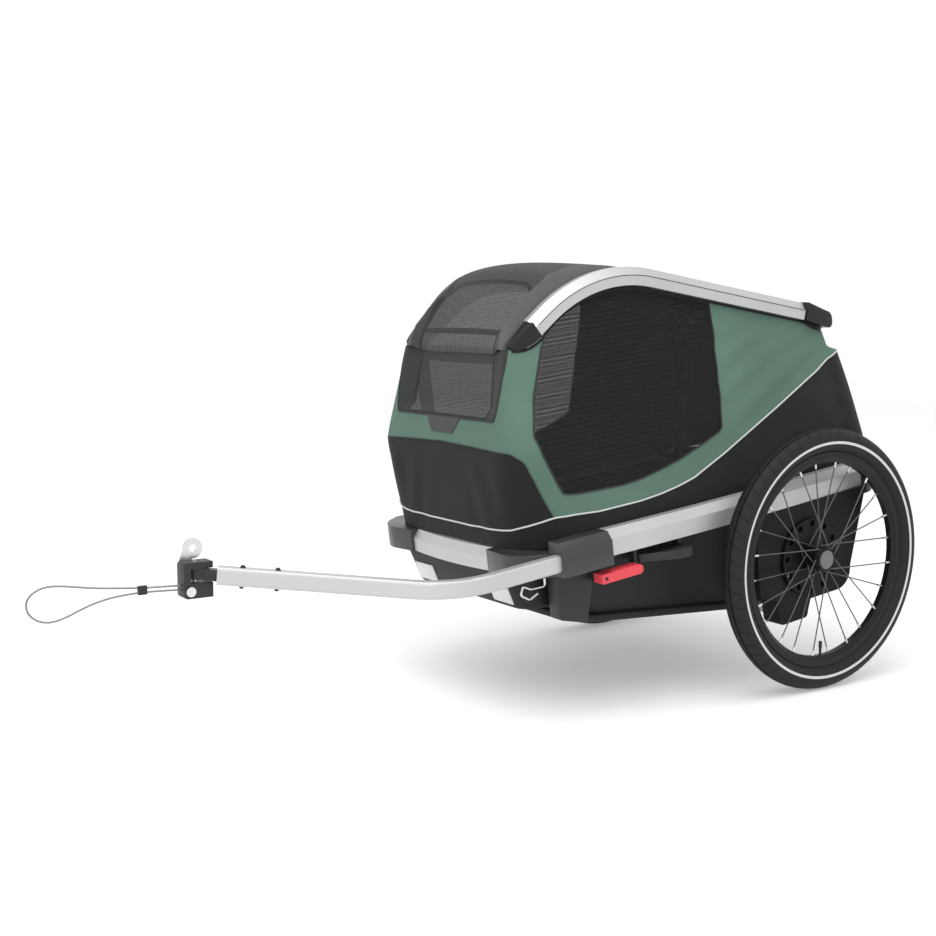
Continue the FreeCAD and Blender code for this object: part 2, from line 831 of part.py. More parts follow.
finished(on_frame(make_pedal()), "brake_pedal")
ear = 8
pedal_ears = [
    box(ear, d.pedal_thickness / 2 + 8, d.pedal_drop - d.rail_depth / 2 + d.pedal_thickness / 2 - d.fit_gap,
        at, pedal_v - 6, pedal_w - d.pedal_thickness / 2)
    for at in (d.pedal_rear - ear - d.fit_gap, pedal_u + d.fit_gap)
]
pedal_shaft = cylinder(d.brake_pin_radius, d.pedal_length + ear * 2, d.pedal_rear - ear, pedal_v, pedal_w,
                       Vector(1, 0, 0))
pedal_bracket = fuse(pedal_shaft, *pedal_ears)


# Drawbar release: a rounded red lever hinged behind the left corner
def make_release():
    half = d.lever_height / 2
    rear = d.lever_front - d.lever_length
    middle = d.lever_drop * -1
    loop = [
        (d.lever_front, middle - half), (d.lever_front, middle + half), (rear + half, middle + half),
        (rear, middle, half), (rear + half, middle - half, half),
    ]
    start = d.corner_outer - 4
    lever = extrude(outline([loop], "XZ", y=start), d.lever_width)
    pin_at = d.lever_front - half
    return cut(lever, cylinder(d.bolt_radius + d.running_gap, d.lever_width + 2,
                               pin_at, start - d.lever_width - 1,
                               middle, along_y))


release_u = d.lever_front - d.lever_height / 2
release_w = d.lever_drop * -1
finished(on_frame(make_release()), "drawbar_release")
lug_v = d.corner_outer - 4 - d.lever_width
release_pin = cylinder(d.bolt_radius, d.lever_width + 6, release_u, lug_v - 5, release_w, along_y)
lug_loop = [
    (release_u - 9, release_w - 9), (release_u + 9, release_w - 9),
    (release_u + 9, d.corner_low - d.fit_gap), (release_u - 9, d.corner_low - d.fit_gap),
]
release_lug = extrude(outline([lug_loop], "XZ", y=lug_v - d.fit_gap), 6)
finished(on_frame(group(pedal_bracket, fuse(release_pin, release_lug))), "lever_brackets")


# Reflectors on the tub's nose, and the spring clip beside the drawbar
def frame_point(u, v, w):
    tilt = math.radians(d.frame_tilt.value)
    x = u * math.cos(tilt) + w * math.sin(tilt)
    z = d.rail_height.value - u * math.sin(tilt) + w * math.cos(tilt)
    return Vector(x, v, z)


def rounded_path(points, radii):
    edges = []
    start = points[0]
    for before, corner, after, radius in zip(points, points[1:], points[2:], radii):
        back = (before - corner).normalize()
        on = (after - corner).normalize()
        half_turn = (math.pi - back.getAngle(on)) / 2
        reach = radius * math.tan(half_turn)
        first, last = corner + back * reach, corner + on * reach
        towards = (back + on).normalize()
        middle = corner + towards * (radius / math.cos(half_turn) - radius)
        edges.append(Part.LineSegment(start, first).toShape())
        edges.append(Part.Arc(first, middle, last).toShape())
        start = last
    edges.append(Part.LineSegment(start, points[-1]).toShape())
    return Part.Wire(edges)


def swept(path, *sections):
    solids = []
    for section in sections:
        pipe = Part.BRepOffsetAPI.MakePipeShell(path)
        pipe.add(section)
        pipe.build()
        pipe.makeSolid()
        solids.append(pipe.shape())
    solid = solids[0]
    for hollow in solids[1:]:
        solid = solid.cut(hollow)
    return solid


def tube(points, radii, radius):
    circle = Part.Circle(points[0], points[1] - points[0], radius)
    return swept(rounded_path(points, radii), Part.Wire([circle.toShape()]))


nose_low_u = d.floor_front * cosine(d.tub_floor_slope)
nose_low_w = d.floor_front * sine(d.tub_floor_slope) - d.tub_depth
nose_slope = (d.tub_front - nose_low_u) / (d.tub_rim - nose_low_w)
slant = math.degrees(math.atan(nose_slope.value))
reflector_w = -d.end_rail_drop - d.end_rail_depth / 2 - 6
reflector_u = d.tub_front + (reflector_w - d.tub_rim) * nose_slope + d.fit_gap
reflectors = []
for middle_v in (96, -96):
    loop = [
        (middle_v - d.reflector_width / 2, -d.reflector_height),
        (middle_v + d.reflector_width / 2, -d.reflector_height),
        (middle_v + d.reflector_width / 2, 0), (middle_v - d.reflector_width / 2, 0),
    ]
    reflectors.append(extrude(outline([loop], "YZ"), d.reflector_thickness))
plates = group(*reflectors)
place(plates, reflector_u, 0, reflector_w, along_y, slant)
finished(on_frame(group(plates)), "front_reflectors")

clip_points = [
    Vector(604, 246, -41.2), Vector(604, 246, -56), Vector(636, 247, -54), Vector(652, 249, -45),
    Vector(660, 251, -59), Vector(641, 249, -71), Vector(622, 247, -65),
]
clip = shaped(tube(clip_points, [6, 7, 5, 5, 7], 2))
finished(on_frame(clip), "retaining_clip")


# Drawbar: a bent rectangular tube from the left corner to the hitch
insert_u = d.corner_front.value - d.drawbar_insert.value
corner_point = frame_point(insert_u, d.drawbar_v.value, d.drawbar_w.value)
ahead = frame_point(1, 0, 0) - frame_point(0, 0, 0)
frame_up = frame_point(0, 0, 1) - frame_point(0, 0, 0)
bend_point = corner_point + ahead * ((d.drawbar_bend_x.value - corner_point.x) / ahead.x)
hitch_point = Vector(d.hitch_x.value, d.hitch_y.value, d.hitch_z.value)
bar_way = (hitch_point - bend_point).normalize()
bar_end = hitch_point - bar_way * d.drawbar_end_gap.value
bar_up = FreeCAD.Rotation(ahead, bar_way).multVec(frame_up)


def rounded_rectangle(origin, across, up, width, height, radius):
    corners = []
    for turn in range(4):
        sign_a = (1, -1, -1, 1)[turn]
        sign_u = (1, 1, -1, -1)[turn]
        centre = origin + across * (sign_a * (width / 2 - radius)) + up * (sign_u * (height / 2 - radius))
        rays = ((across * sign_a, up * sign_u), (up * sign_u, across * sign_a))[turn % 2]
        middle = (rays[0] + rays[1]).normalize()
        corners.append([centre + ray * radius for ray in (rays[0], middle, rays[1])])
    edges = []
    for corner, following in zip(corners, corners[1:] + corners[:1]):
        edges.append(Part.Arc(*corner).toShape())
        edges.append(Part.LineSegment(corner[2], following[0]).toShape())
    return Part.Wire(edges)


def bolt_places():
    first = bar_end - bar_way * (d.bolt_spacing.value * 0.7)
    return [first, first - bar_way * d.bolt_spacing.value]


def make_drawbar():
    path = rounded_path([corner_point, bend_point, bar_end], [d.drawbar_bend_radius.value])
    width, height = d.drawbar_width.value, d.drawbar_height.value
    wall, corner = d.drawbar_wall.value, d.drawbar_corner.value
    across = Vector(0, 1, 0)
    shell = rounded_rectangle(corner_point, across, frame_up, width, height, corner)
    bore = rounded_rectangle(corner_point, across, frame_up, width - 2 * wall, height - 2 * wall,
                             corner - wall)
    bar = swept(path, shell, bore)
    for point in bolt_places():
        bar = bar.cut(bolt_shank(point, d.bolt_radius.value + d.running_gap.value))
    return bar


def bolt_shank(point, radius):
    length = d.drawbar_height.value + 2 * d.bolt_head_height.value
    return Part.makeCylinder(radius, length, point - bar_up * (length / 2), bar_up)


def make_bolts():
    solids = []
    reach = d.drawbar_height.value / 2
    for point in bolt_places():
        bolt = bolt_shank(point, d.bolt_radius.value)
        for way in (bar_up, bar_up * -1):
            seat = point + way * (reach + 0.02)
            head = Part.makeCone(d.bolt_head_radius.value, d.bolt_head_radius.value * 0.55,
                                 d.bolt_head_height.value,
                                 seat, way)
            bolt = bolt.fuse(head)
        solids.append(bolt.removeSplitter())
    return Part.makeCompound(solids)


def make_tongue():
    width, height = d.tongue_width.value - 3, d.tongue_height.value
    inside = d.tongue_length.value + d.drawbar_end_gap.value
    across = bar_up.cross(bar_way)
    start = bar_end - bar_way * d.tongue_length.value
    corner = start - across * (width / 2) - bar_up * (height / 2)
    bar = Part.Face(Part.makePolygon([
        corner, corner + across * width, corner + across * width + bar_up * height,
        corner + bar_up * height, corner,
    ])).extrude(bar_way * (inside - 14))
    eye = Part.makeCylinder(d.tongue_width.value / 2, height, hitch_point - Vector(0, 0, height / 2))
    level = Vector(bar_way.x, bar_way.y, 0).normalize()
    side = Vector(-level.y, level.x, 0)
    back = hitch_point - level * 22 - side * (width / 2) - Vector(0, 0, height / 2)
    neck = Part.Face(Part.makePolygon([
        back, back + side * width, back + side * width + Vector(0, 0, height), back + Vector(0, 0,
        height), back,
    ])).extrude(level * 22)
    tongue = bar.fuse([eye, neck]).removeSplitter()
    bore = Part.makeCylinder(d.pivot_pin_radius.value + d.running_gap.value, height + 4,
                             hitch_point - Vector(0, 0, height / 2 + 2))
    tongue = tongue.cut(bore)
    for point in bolt_places():
        tongue = tongue.cut(bolt_shank(point, d.bolt_radius.value + d.running_gap.value))
    return tongue


drawbar_pieces = (("drawbar", make_drawbar), ("drawbar_tongue", make_tongue), ("drawbar_bolts", make_bolts))
for label, make in drawbar_pieces:
    finished(on_ground(shaped(make())), label)


# Hitch: a C-shaped head on a vertical pin, and an eyed plate on a cross pin
def on_hitch(obj, label):
    return finished(on_ground(obj, d.hitch_x, d.hitch_y, d.hitch_z), label)


def make_head():
    round_edge = 6
    loop = [
        (d.head_back * -1, d.head_low * -1), (d.head_front - round_edge, d.head_low * -1),
        (d.head_front, d.head_low * -1 + round_edge, round_edge), (d.head_front, d.head_top - round_edge),
        (d.head_front - round_edge, d.head_top, round_edge), (d.head_back * -1, d.head_top),
        (d.head_back * -1, d.slot_top), (d.slot_front, d.slot_top), (d.slot_front, d.slot_low * -1),
        (d.head_back * -1, d.slot_low * -1),
    ]
    pin_hole = (d.lock_pin_x, d.lock_pin_z, d.lock_pin_radius + d.running_gap)
    head = extrude(outline([loop, pin_hole], "XZ"), d.head_width, symmetric=True)
    return cut(head, cylinder(d.pivot_pin_radius, d.head_low + d.head_top, 0, 0, d.head_low * -1 + 4))


plate_face = (d.head_width / 2 + d.fit_gap) * -1


def make_lock_pin():
    start = plate_face - d.plate_thickness - 2
    reach = d.head_width / 2 + 2 - start
    shank = cylinder(d.lock_pin_radius, reach, d.lock_pin_x, start, d.lock_pin_z, along_y)
    head = cylinder(d.lock_head_radius, 4, d.lock_pin_x, d.head_width / 2 + 0.02, d.lock_pin_z, along_y)
    return fuse(shank, head)


def make_axle_plate():
    half = d.plate_shank / 2
    eye_x, eye_z = d.plate_eye_x, d.plate_eye_z
    loop = [
        (d.lock_pin_x - half, d.lock_pin_z - 8), (d.lock_pin_x + half, d.lock_pin_z - 8),
        (d.lock_pin_x + half, eye_z - 24), (eye_x + d.plate_eye_radius, eye_z - 2), (eye_x, eye_z),
        (eye_x - d.plate_eye_radius, eye_z - 2), (d.lock_pin_x - half, eye_z - 24),
    ]
    shank = extrude(outline([loop], "XZ", y=plate_face), d.plate_thickness)
    eye_face = plate_face - d.plate_thickness
    eye = cylinder(d.plate_eye_radius, d.plate_thickness, eye_x, eye_face, eye_z, along_y)
    span = d.plate_thickness + 2
    start = plate_face - d.plate_thickness - 1
    bore = cylinder(d.plate_bore_radius, span, eye_x, start, eye_z, along_y)
    pivot = cylinder(d.lock_pin_radius + d.running_gap, span, d.lock_pin_x, start, d.lock_pin_z, along_y)
    return cut(cut(fuse(shank, eye), bore), pivot)


on_hitch(make_head(), "coupling_head")
pivot_pin = cylinder(d.pivot_pin_radius, d.head_low + d.head_top - 4, 0, 0, d.head_low * -1 + 4)
on_hitch(group(pivot_pin, make_lock_pin()), "hitch_pins")
on_hitch(make_axle_plate(), "axle_plate")

# Safety leash: a stiff steel cable looped out of the head's nose through a slider
leash_route = [
    (24.4, -17), (48, -16), (88, -14), (130, -10), (172, -5), (208, 2), (236, 5), (257, -1), (270, -15),
    (268, -33), (254, -47), (234, -52), (211, -47), (187, -37), (160, -28), (131, -23), (104, -21.5),
    (88, -21), (48, -22.5), (24.4, -24),
]
leash_points = [Vector(x, 0, z) for x, z in leash_route]


def leash_radii(points):
    radii = []
    for before, corner, after in zip(points, points[1:], points[2:]):
        back, on = before - corner, after - corner
        half_turn = (math.pi - back.getAngle(on)) / 2
        radii.append(0.45 * min(back.Length, on.Length) / math.tan(half_turn))
    return radii


bends = leash_radii(leash_points)
print("leash bend radii", [round(radius) for radius in bends])
leash = tube(leash_points, bends, d.leash_diameter.value / 2)
leash_path = rounded_path(leash_points, bends)
print("leash length", round(leash_path.Length), "volume share",
      round(leash.Volume / (math.pi * d.leash_diameter.value ** 2 / 4 * leash_path.Length), 4))
on_hitch(shaped(leash), "safety_leash")
slider_x = 88
slider = box(14, 8, 14, slider_x - 7, -4, -24.5)
on_hitch(group(slider), "leash_slider")


# Folding pillars: a lower and an upper link at each corner of the cabin, hinged at a knee
def stadium(u, low, high):
    half = d.link_width / 2
    return [
        (u + half, low, half), (u + half, high), (u, high + half, half), (u - half, high, half),
        (u - half, low),
        (u, low - half, half),
    ]


def link_faces(end_name):
    # Outer and inner faces of a lower link, then of the upper link beside it
    middle = d.front_link_v if end_name == "front" else d.link_v
    outer = middle + d.link_thickness / 2
    inner = middle - d.link_thickness / 2
    return outer, inner, inner - d.link_gap, inner - d.link_gap - d.link_thickness


pin_bore = d.fold_pin_radius + d.running_gap


def mirrored_y(start, length, side):
    return start if side > 0 else (start + length) * -1


def cross_pin(radius, u, w, start, length, side):
    return cylinder(radius, length, u, mirrored_y(start, length, side), w, along_y)


def link_pair(label, u, low, outer, hole_at, pin_at, pin_start, pin_length):
    links = []
    for side_name, side in sides:
        start = outer if side > 0 else (outer - d.link_thickness) * -1
        hole = (u, hole_at, pin_bore)
        bar = extrude(outline([stadium(u, low, low + d.link_length), hole], "XZ", y=start), d.link_thickness)
        links.append(fuse(bar, cross_pin(d.fold_pin_radius, u, pin_at, pin_start, pin_length, side)))
    finished(on_frame(group(*links)), label)


pillars = (("front", d.front_pivot_u, d.front_pivot_w), ("rear", d.rear_pivot_u, d.rear_pivot_w))
lug_thickness = 12
for end_name, u, low in pillars:
    knee = low + d.link_length
    top = knee + d.link_length
    link_outer, link_inner, upper_outer, upper_inner = link_faces(end_name)
    link_pair(f"{end_name}_lower_links", u, low, link_outer, low, knee, upper_inner - 2,
              d.link_thickness + d.link_gap + 4)
    link_pair(f"{end_name}_upper_links", u, knee, upper_outer, knee, top, upper_outer - 2,
              d.link_gap + lug_thickness + 4)
    bar_length = upper_inner * 2
    bar = cut(cylinder(d.cross_bar_radius, bar_length, u, upper_inner * -1, top, along_y),
              cylinder(d.cross_bar_radius - d.rail_wall, bar_length, u, upper_inner * -1, top, along_y))
    finished(on_frame(bar), f"{end_name}_cross_bar")


# Brackets with stub pins that carry the pillars: on the front corners and on the side rails
def make_bracket(end_name, side):
    link_outer, link_inner, _, _ = link_faces(end_name)
    plate = link_outer + d.link_gap
    front = end_name == "front"
    u, pivot = (d.front_pivot_u, d.front_pivot_w) if front else (d.rear_pivot_u, d.rear_pivot_w)
    foot = 1 + d.fit_gap if front else -7
    foot_end = d.cover_low_half - 12 if front else d.rail_inner - 9.6
    foot_height = 8
    half = d.link_width / 2 + 2
    low = foot if front else pivot - half
    high = pivot + half
    wall_v = mirrored_y(plate, d.bracket_thickness, side)
    wall = box(half * 2, d.bracket_thickness, high - low, u - half, wall_v, low)
    step_v = mirrored_y(plate, foot_end - plate, side)
    step = box(half * 2, foot_end - plate, foot_height, u - half, step_v, foot)
    stub = cross_pin(d.fold_pin_radius, u, pivot, link_inner + 1, plate - link_inner, side)
    return fuse(wall, step, stub)


brackets = [make_bracket(end_name, side) for end_name in ("front", "rear") for _, side in sides]
finished(on_frame(group(*brackets)), "fold_brackets")

# Roof arches: bevelled extrusions bent over the cabin's sides
arch_front = Vector(d.arch_front_u.value, 0, d.arch_front_w.value)
arch_peak = Vector(d.arch_peak_u.value, 0, d.arch_peak_w.value)
arch_rear = Vector(d.arch_rear_u.value, 0, d.arch_rear_w.value)
rise = (arch_peak - arch_front).normalize()
fall = (arch_rear - arch_peak).normalize()


def upright(way):
    return Vector(way.z, 0, -way.x)


def arch_side(u):
    # The arches stand closer together towards the front
    return d.arch_v - d.arch_toe * ((u - d.arch_rear_u) / (d.arch_front_u - d.arch_rear_u))


def make_arch(side):
    spots = (arch_front, arch_peak, arch_rear)
    line = [spot + Vector(0, arch_side(spot.x).value * side, 0) for spot in spots]
    plan = Vector(line[0].x - line[2].x, line[0].y - line[2].y, 0).normalize()
    normal = Vector(-plan.y, plan.x, 0)
    across = normal * side
    up = normal.cross((line[1] - line[0]).normalize())
    half, high = d.arch_width.value / 2, d.arch_height.value / 2
    run, drop = d.arch_bevel_run.value, d.arch_bevel_drop.value
    profile = [
        (-half, -high), (half, -high), (half, high - drop), (half - run, high), (-half, high), (-half, -high),
    ]
    points = [line[0] + across * a + up * b for a, b in profile]
    pipe = Part.BRepOffsetAPI.MakePipeShell(rounded_path(line, [d.arch_radius.value]))
    pipe.setBiNormalMode(normal)
    pipe.add(Part.makePolygon(points))
    pipe.build()
    pipe.makeSolid()
    return pipe.shape()


for side_name, side in sides:
    finished(on_frame(shaped(make_arch(side))), f"arch_{side_name}")

front_top = d.front_pivot_w + d.link_length * 2
rear_top = d.rear_pivot_w + d.link_length * 2


def end_faces(end_name):
    # Where an end moulding's lug starts, and its block's inner and outer faces
    lug = link_faces(end_name)[1] + 0.5
    half = d.arch_width / 2 + d.arch_end_wall
    if end_name == "front":
        middle = d.arch_v - d.arch_toe
        return lug, middle - half, middle + half + d.arch_end_wall
    return lug, lug, d.arch_v + half


def front_plan(side):
    # The front moulding narrows to its tip
    u, middle = d.arch_front_u + d.fit_gap * 7, d.arch_v - d.arch_toe
    half = d.arch_width / 2 + d.arch_end_wall
    spots = [
        (-14, half * -1), (52, d.arch_end_wall * -1), (52, d.arch_end_wall / 2), (44, half - 10),
        (28, half - 4), (8, half + 1), (-14, half + d.arch_end_wall),
    ]
    loop = [(u + along, (middle + away) * side) for along, away in spots]
    return extrude(outline([loop], z=d.arch_front_w - 45), 70)


def make_arch_end(end_name, loop, hole, side):
    lug_loop, block_loop = loop
    lug_start, inner, outer = end_faces(end_name)
    lug_face = mirrored_y(lug_start, lug_thickness, side) + lug_thickness
    lug = extrude(outline([lug_loop, hole], "XZ", y=lug_face), lug_thickness)
    depth = outer - inner
    block = extrude(outline([block_loop], "XZ", y=mirrored_y(inner, depth, side) + depth), depth)
    if end_name == "front":
        block = common(block, front_plan(side))
    return fuse(lug, block)


def front_loops():
    u, w = d.arch_front_u + d.fit_gap * 7, d.arch_front_w
    pivot_u, pivot_w = d.front_pivot_u, front_top
    block = [
        (u + 7, w + 11), (u + 49, w - 20), (u + 46, w - 31, -6), (u + 36, w - 32), (u + 9, w - 25, -70),
        (u - 9, w - 15),
    ]
    lug = [
        (pivot_u - 11, pivot_w), (pivot_u, pivot_w - 11, 11), (pivot_u + 11, pivot_w, 11),
        (pivot_u + 11, w - 24), (pivot_u - 11, w - 20),
    ]
    return (lug, block), (pivot_u, pivot_w, pin_bore)


def rear_loops():
    u, w = d.arch_rear_u - d.fit_gap * 7, d.arch_rear_w
    pivot_u, pivot_w = d.rear_pivot_u, rear_top
    end_u, end_w = d.cap_rear_u, d.cap_rear_w
    block = [(u - 4, w + 17), (u + 4, w - 17), (end_u + 10, end_w - 10), (end_u, end_w, -10),
             (end_u, end_w + 8), (end_u + 14, end_w + 24, -18)]
    lug = [
        (pivot_u - 13, pivot_w), (pivot_u, pivot_w - 13, 13), (pivot_u + 13, pivot_w, 13), (u - 4, w - 8),
        (u - 40, w - 20),
    ]
    return (lug, block), (pivot_u, pivot_w, pin_bore + 0.4)


end_loops = (("front", front_loops), ("rear", rear_loops))
arch_ends = [make_arch_end(end_name, *loops(), side) for end_name, loops in end_loops for _, side in sides]
finished(on_frame(group(*arch_ends)), "arch_ends")


# Cabin cloth: a lofted cover up to the split line, then the roof under the arches
def cover_loop(inset, rear, front, half):
    corner = d.cover_corner - inset
    return pan_loop(rear + inset, front - inset, half - inset, corner, corner - 10)


def cover_body(inset, low, high):
    bottom = cover_loop(inset, d.cover_rear_low, d.cover_front_low, d.cover_low_half)
    middle = cover_loop(inset, d.cover_rear_mid, d.cover_front_mid, d.cover_mid_half)
    top = cover_loop(inset, d.cover_rear_split, d.cover_front_split, d.cover_split_half)
    return loft(
        outline([bottom], z=d.cover_low - low), outline([middle], z=d.cover_mid),
        outline([top], z=d.cover_split + high),
    )


half_bend = (math.pi - (rise * -1).getAngle(fall)) / 2
bend_reach = d.arch_radius.value * math.tan(half_bend)


def roof_slab(lift, inset, low):
    # The roof's side view, with its top edge at a distance above the arches' middle line
    front_at = arch_front + upright(rise) * lift
    arc_from = arch_peak - rise * bend_reach + upright(rise) * lift
    arc_to = arch_peak + fall * bend_reach + upright(fall) * lift
    rear_at = arch_rear + upright(fall) * lift
    nose = d.cover_front_split - inset
    tail = d.cover_rear_split + inset
    profile = [
        (tail, d.cover_split - low), (nose, d.cover_split - low), (nose - 26, d.arch_front_w - 34),
        (front_at.x, front_at.z), (arc_from.x, arc_from.z), (arc_to.x, arc_to.z, d.arch_radius.value + lift),
        (rear_at.x, rear_at.z), (tail, d.arch_rear_w - 30 - inset),
    ]
    return extrude(outline([profile], "XZ"), d.cover_split_half * 2 + 10, symmetric=True)


def roof_body(inset, low):
    half = d.cover_split_half - inset
    base = d.cover_split - low - 1
    peak = d.arch_peak_w + 40
    rear_u = d.cover_rear_split - 20
    front_u = d.cover_front_split + 20

    def width(u, narrowing):
        top = d.cover_top_half - inset - narrowing
        loop = [
            (half * -1, base), (half, base), (half, d.cover_split), (top, d.cover_shoulder), (top, peak),
            (top * -1, peak), (top * -1, d.cover_shoulder), (half * -1, d.cover_split),
        ]
        return outline([loop], "YZ", x=u)

    wedge = loft(width(rear_u, 0), width(front_u, d.arch_toe - 16))
    walls = cover_loop(inset, d.cover_rear_split, d.cover_front_split, d.cover_split_half)
    prism = extrude(outline([walls], z=base), peak - base)
    under = roof_slab((d.arch_height / -2 - 0.5 - inset).value, inset, low)
    lower = common(common(under, wedge), prism)
    spare = d.arch_width / 2 + d.fit_gap * 2 + inset
    rear_half, front_half = arch_side(rear_u) - spare, arch_side(front_u) - spare
    plan = [(rear_u, rear_half * -1), (front_u, front_half * -1), (front_u, front_half), (rear_u, rear_half)]
    strip = extrude(outline([plan], z=base), peak - base)
    over = roof_slab(4 - number(inset), inset, low)
    return fuse(lower, common(over, strip))


def joint_notches():
    # Room for the arches' end mouldings in the cloth
    u, w = d.arch_front_u, d.arch_front_w
    pivot_u, pivot_w = d.front_pivot_u, front_top
    front = [
        (u - 13, w - 17), (pivot_u - 16, pivot_w - 16), (pivot_u + 16, pivot_w - 16), (u + 63, w - 44),
        (u + 65, w - 8), (u + 12, w + 22),
    ]
    u, w = d.arch_rear_u, d.arch_rear_w
    pivot_u, pivot_w = d.rear_pivot_u, rear_top
    rear = [
        (u + 8, w - 20), (u, w + 20), (d.cap_rear_u - 3, d.cap_rear_w + 26),
        (d.cap_rear_u - 3, d.cap_rear_w - 12),
        (pivot_u - 18, pivot_w - 17), (pivot_u + 18, pivot_w - 17),
    ]
    notches = []
    for end_name, loop in (("front", front), ("rear", rear)):
        _, inner, outer = end_faces(end_name)
        depth = outer - inner + 5
        for _, side in sides:
            face = mirrored_y(inner - 2, depth, side) + depth
            notches.append(extrude(outline([loop], "XZ", y=face), depth))
    return notches


def side_window():
    u, w = d.cover_front_split, d.cover_low
    top = d.arch_front_w
    loop = [
        (u - 74, w + 89), (u - 24, w + 212, 400), (u - 80, top - 45, 150), (u - 110, top - 16),
        (u - 200, top + 32),
        (u - 290, top + 38, 160), (u - 448, top - 4), (u - 456, w + 141),
        (u - 347, w + 100, -260), (u - 180, w + 80, 600),
    ]
    return extrude(outline([loop], "XZ"), 700, symmetric=True)


def front_window(low, high, half):
    loop = [(half * -1, low), (half, low), (half - 4, high), (half * -1 + 4, high)]
    return extrude(outline([loop], "YZ", x=d.arch_peak_u), 400)


cover_shell = cut(cover_body(0, 0, 0), cover_body(d.cloth, 1, 1))
roof_shell = cut(cut(roof_body(0, 0), roof_body(d.cloth, 1)), fuse(*joint_notches()))
mesh_half = d.cover_split_half - 52
windows = fuse(side_window(), front_window(d.cover_low + 228, d.arch_front_w - 36, mesh_half))
upper_front = front_window(d.arch_front_w - 16, d.arch_peak_w - 42, mesh_half - 24)
finished(on_frame(cut(cover_shell, windows)), "cabin_cover")
finished(on_frame(common(cover_shell, windows)), "cabin_mesh")
roof_windows = fuse(windows, upper_front)
finished(on_frame(cut(roof_shell, roof_windows)), "roof_cover")
finished(on_frame(common(roof_shell, roof_windows)), "roof_mesh")


def write_parts():
    os.makedirs("parts", exist_ok=True)
    doc.recompute()
    faults = [obj.Name + " " + str(obj.State) for obj in doc.Objects if {"Invalid", "Error"} & set(obj.State)]
    for obj in subparts:
        if obj.Shape.isNull() or not obj.Shape.isValid():
            faults.append(f"{obj.Label} has no valid shape")
    if faults:
        raise RuntimeError("; ".join(faults))
    for obj in subparts:
        obj.Shape.exportStep(f"parts/{obj.Label}.step")
        print(obj.Label, len(obj.Shape.Solids), round(obj.Shape.Volume / 1000, 1), "cm3")


write_parts()
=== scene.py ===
import bpy, json, math
import numpy as np
from functools import partial
from mathutils import Matrix, Vector


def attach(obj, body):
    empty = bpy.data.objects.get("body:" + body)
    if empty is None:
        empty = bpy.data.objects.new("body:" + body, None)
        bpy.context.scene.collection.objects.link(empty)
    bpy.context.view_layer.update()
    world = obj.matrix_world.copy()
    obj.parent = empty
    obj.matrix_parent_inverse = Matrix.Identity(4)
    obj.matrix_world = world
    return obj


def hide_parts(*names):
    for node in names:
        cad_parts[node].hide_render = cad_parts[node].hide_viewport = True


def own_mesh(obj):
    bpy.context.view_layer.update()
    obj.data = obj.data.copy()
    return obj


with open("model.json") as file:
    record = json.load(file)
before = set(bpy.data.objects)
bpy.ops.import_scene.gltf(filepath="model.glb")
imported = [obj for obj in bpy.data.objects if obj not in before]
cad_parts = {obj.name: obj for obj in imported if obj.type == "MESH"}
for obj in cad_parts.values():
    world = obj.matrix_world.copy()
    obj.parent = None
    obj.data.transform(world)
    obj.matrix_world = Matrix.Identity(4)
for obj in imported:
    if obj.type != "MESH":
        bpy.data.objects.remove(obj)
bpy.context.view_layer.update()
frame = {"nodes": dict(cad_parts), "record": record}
nodes = frame["nodes"]
bodyOf = {}
for bodyName, members in frame["record"]["behaviour"]["bodies"].items():
    for member in members:
        bodyOf[member] = bodyName
print("frame loaded:", len(nodes), "nodes")

# the trailer floor is tilted; u runs forward, v to the left, w up from it, in millimetres
base = {"tilt": math.radians(7.2), "axleX": -469.5, "height": 380.0}
tiltCos, tiltSin = math.cos(base["tilt"]), math.sin(base["tilt"])
upFloor = Vector((tiltSin, 0.0, tiltCos))


def onBase(u, v, w):
    u, v, w = np.broadcast_arrays(np.asarray(u, float), np.asarray(v, float), np.asarray(w, float))
    x = base["axleX"] + u * tiltCos + w * tiltSin
    z = base["height"] - u * tiltSin + w * tiltCos
    return np.stack([x, v, z], -1) / 1000.0


# camera at the photograph's angle
cameraSet = {
    "place": (1.562337, 2.184150, 0.733846), "yaw": -123.44344648, "pitch": -6.62668192, "lens": 54.615,
}


def addObject(name, data):
    piece = bpy.data.objects.new(name, data)
    bpy.context.scene.collection.objects.link(piece)
    return piece


def placeCamera(spec):
    yaw, pitch = math.radians(spec["yaw"]), math.radians(spec["pitch"])
    look = Vector((math.cos(yaw) * math.cos(pitch), math.sin(yaw) * math.cos(pitch), math.sin(pitch)))
    right = Vector((math.sin(yaw), -math.cos(yaw), 0.0))
    up = right.cross(look)
    data = bpy.data.cameras.new("viewCamera")
    data.sensor_width = 36.0
    data.lens = spec["lens"]
    data.clip_start, data.clip_end = 0.05, 60.0
    camera = addObject("viewCamera", data)
    turn = Matrix((right, up, -look)).transposed().to_4x4()
    camera.matrix_world = Matrix.Translation(spec["place"]) @ turn
    bpy.context.scene.camera = camera


placeCamera(cameraSet)


# small helpers
def pickOnly(piece):
    bpy.ops.object.select_all(action="DESELECT")
    piece.hide_viewport = False
    piece.select_set(True)
    bpy.context.view_layer.objects.active = piece


def applyModifier(piece, kind, **settings):
    pickOnly(piece)
    step = piece.modifiers.new(kind.lower(), kind)
    for key, value in settings.items():
        setattr(step, key, value)
    bpy.ops.object.modifier_apply(modifier=step.name)


def editAll(piece, *steps):
    pickOnly(piece)
    bpy.ops.object.mode_set(mode="EDIT")
    for step, settings in steps:
        bpy.ops.mesh.select_all(action="SELECT")
        step(**settings)
    bpy.ops.object.mode_set(mode="OBJECT")


def smoothEdges(piece, degrees=35):
    pickOnly(piece)
    bpy.ops.object.shade_smooth_by_angle(angle=math.radians(degrees))


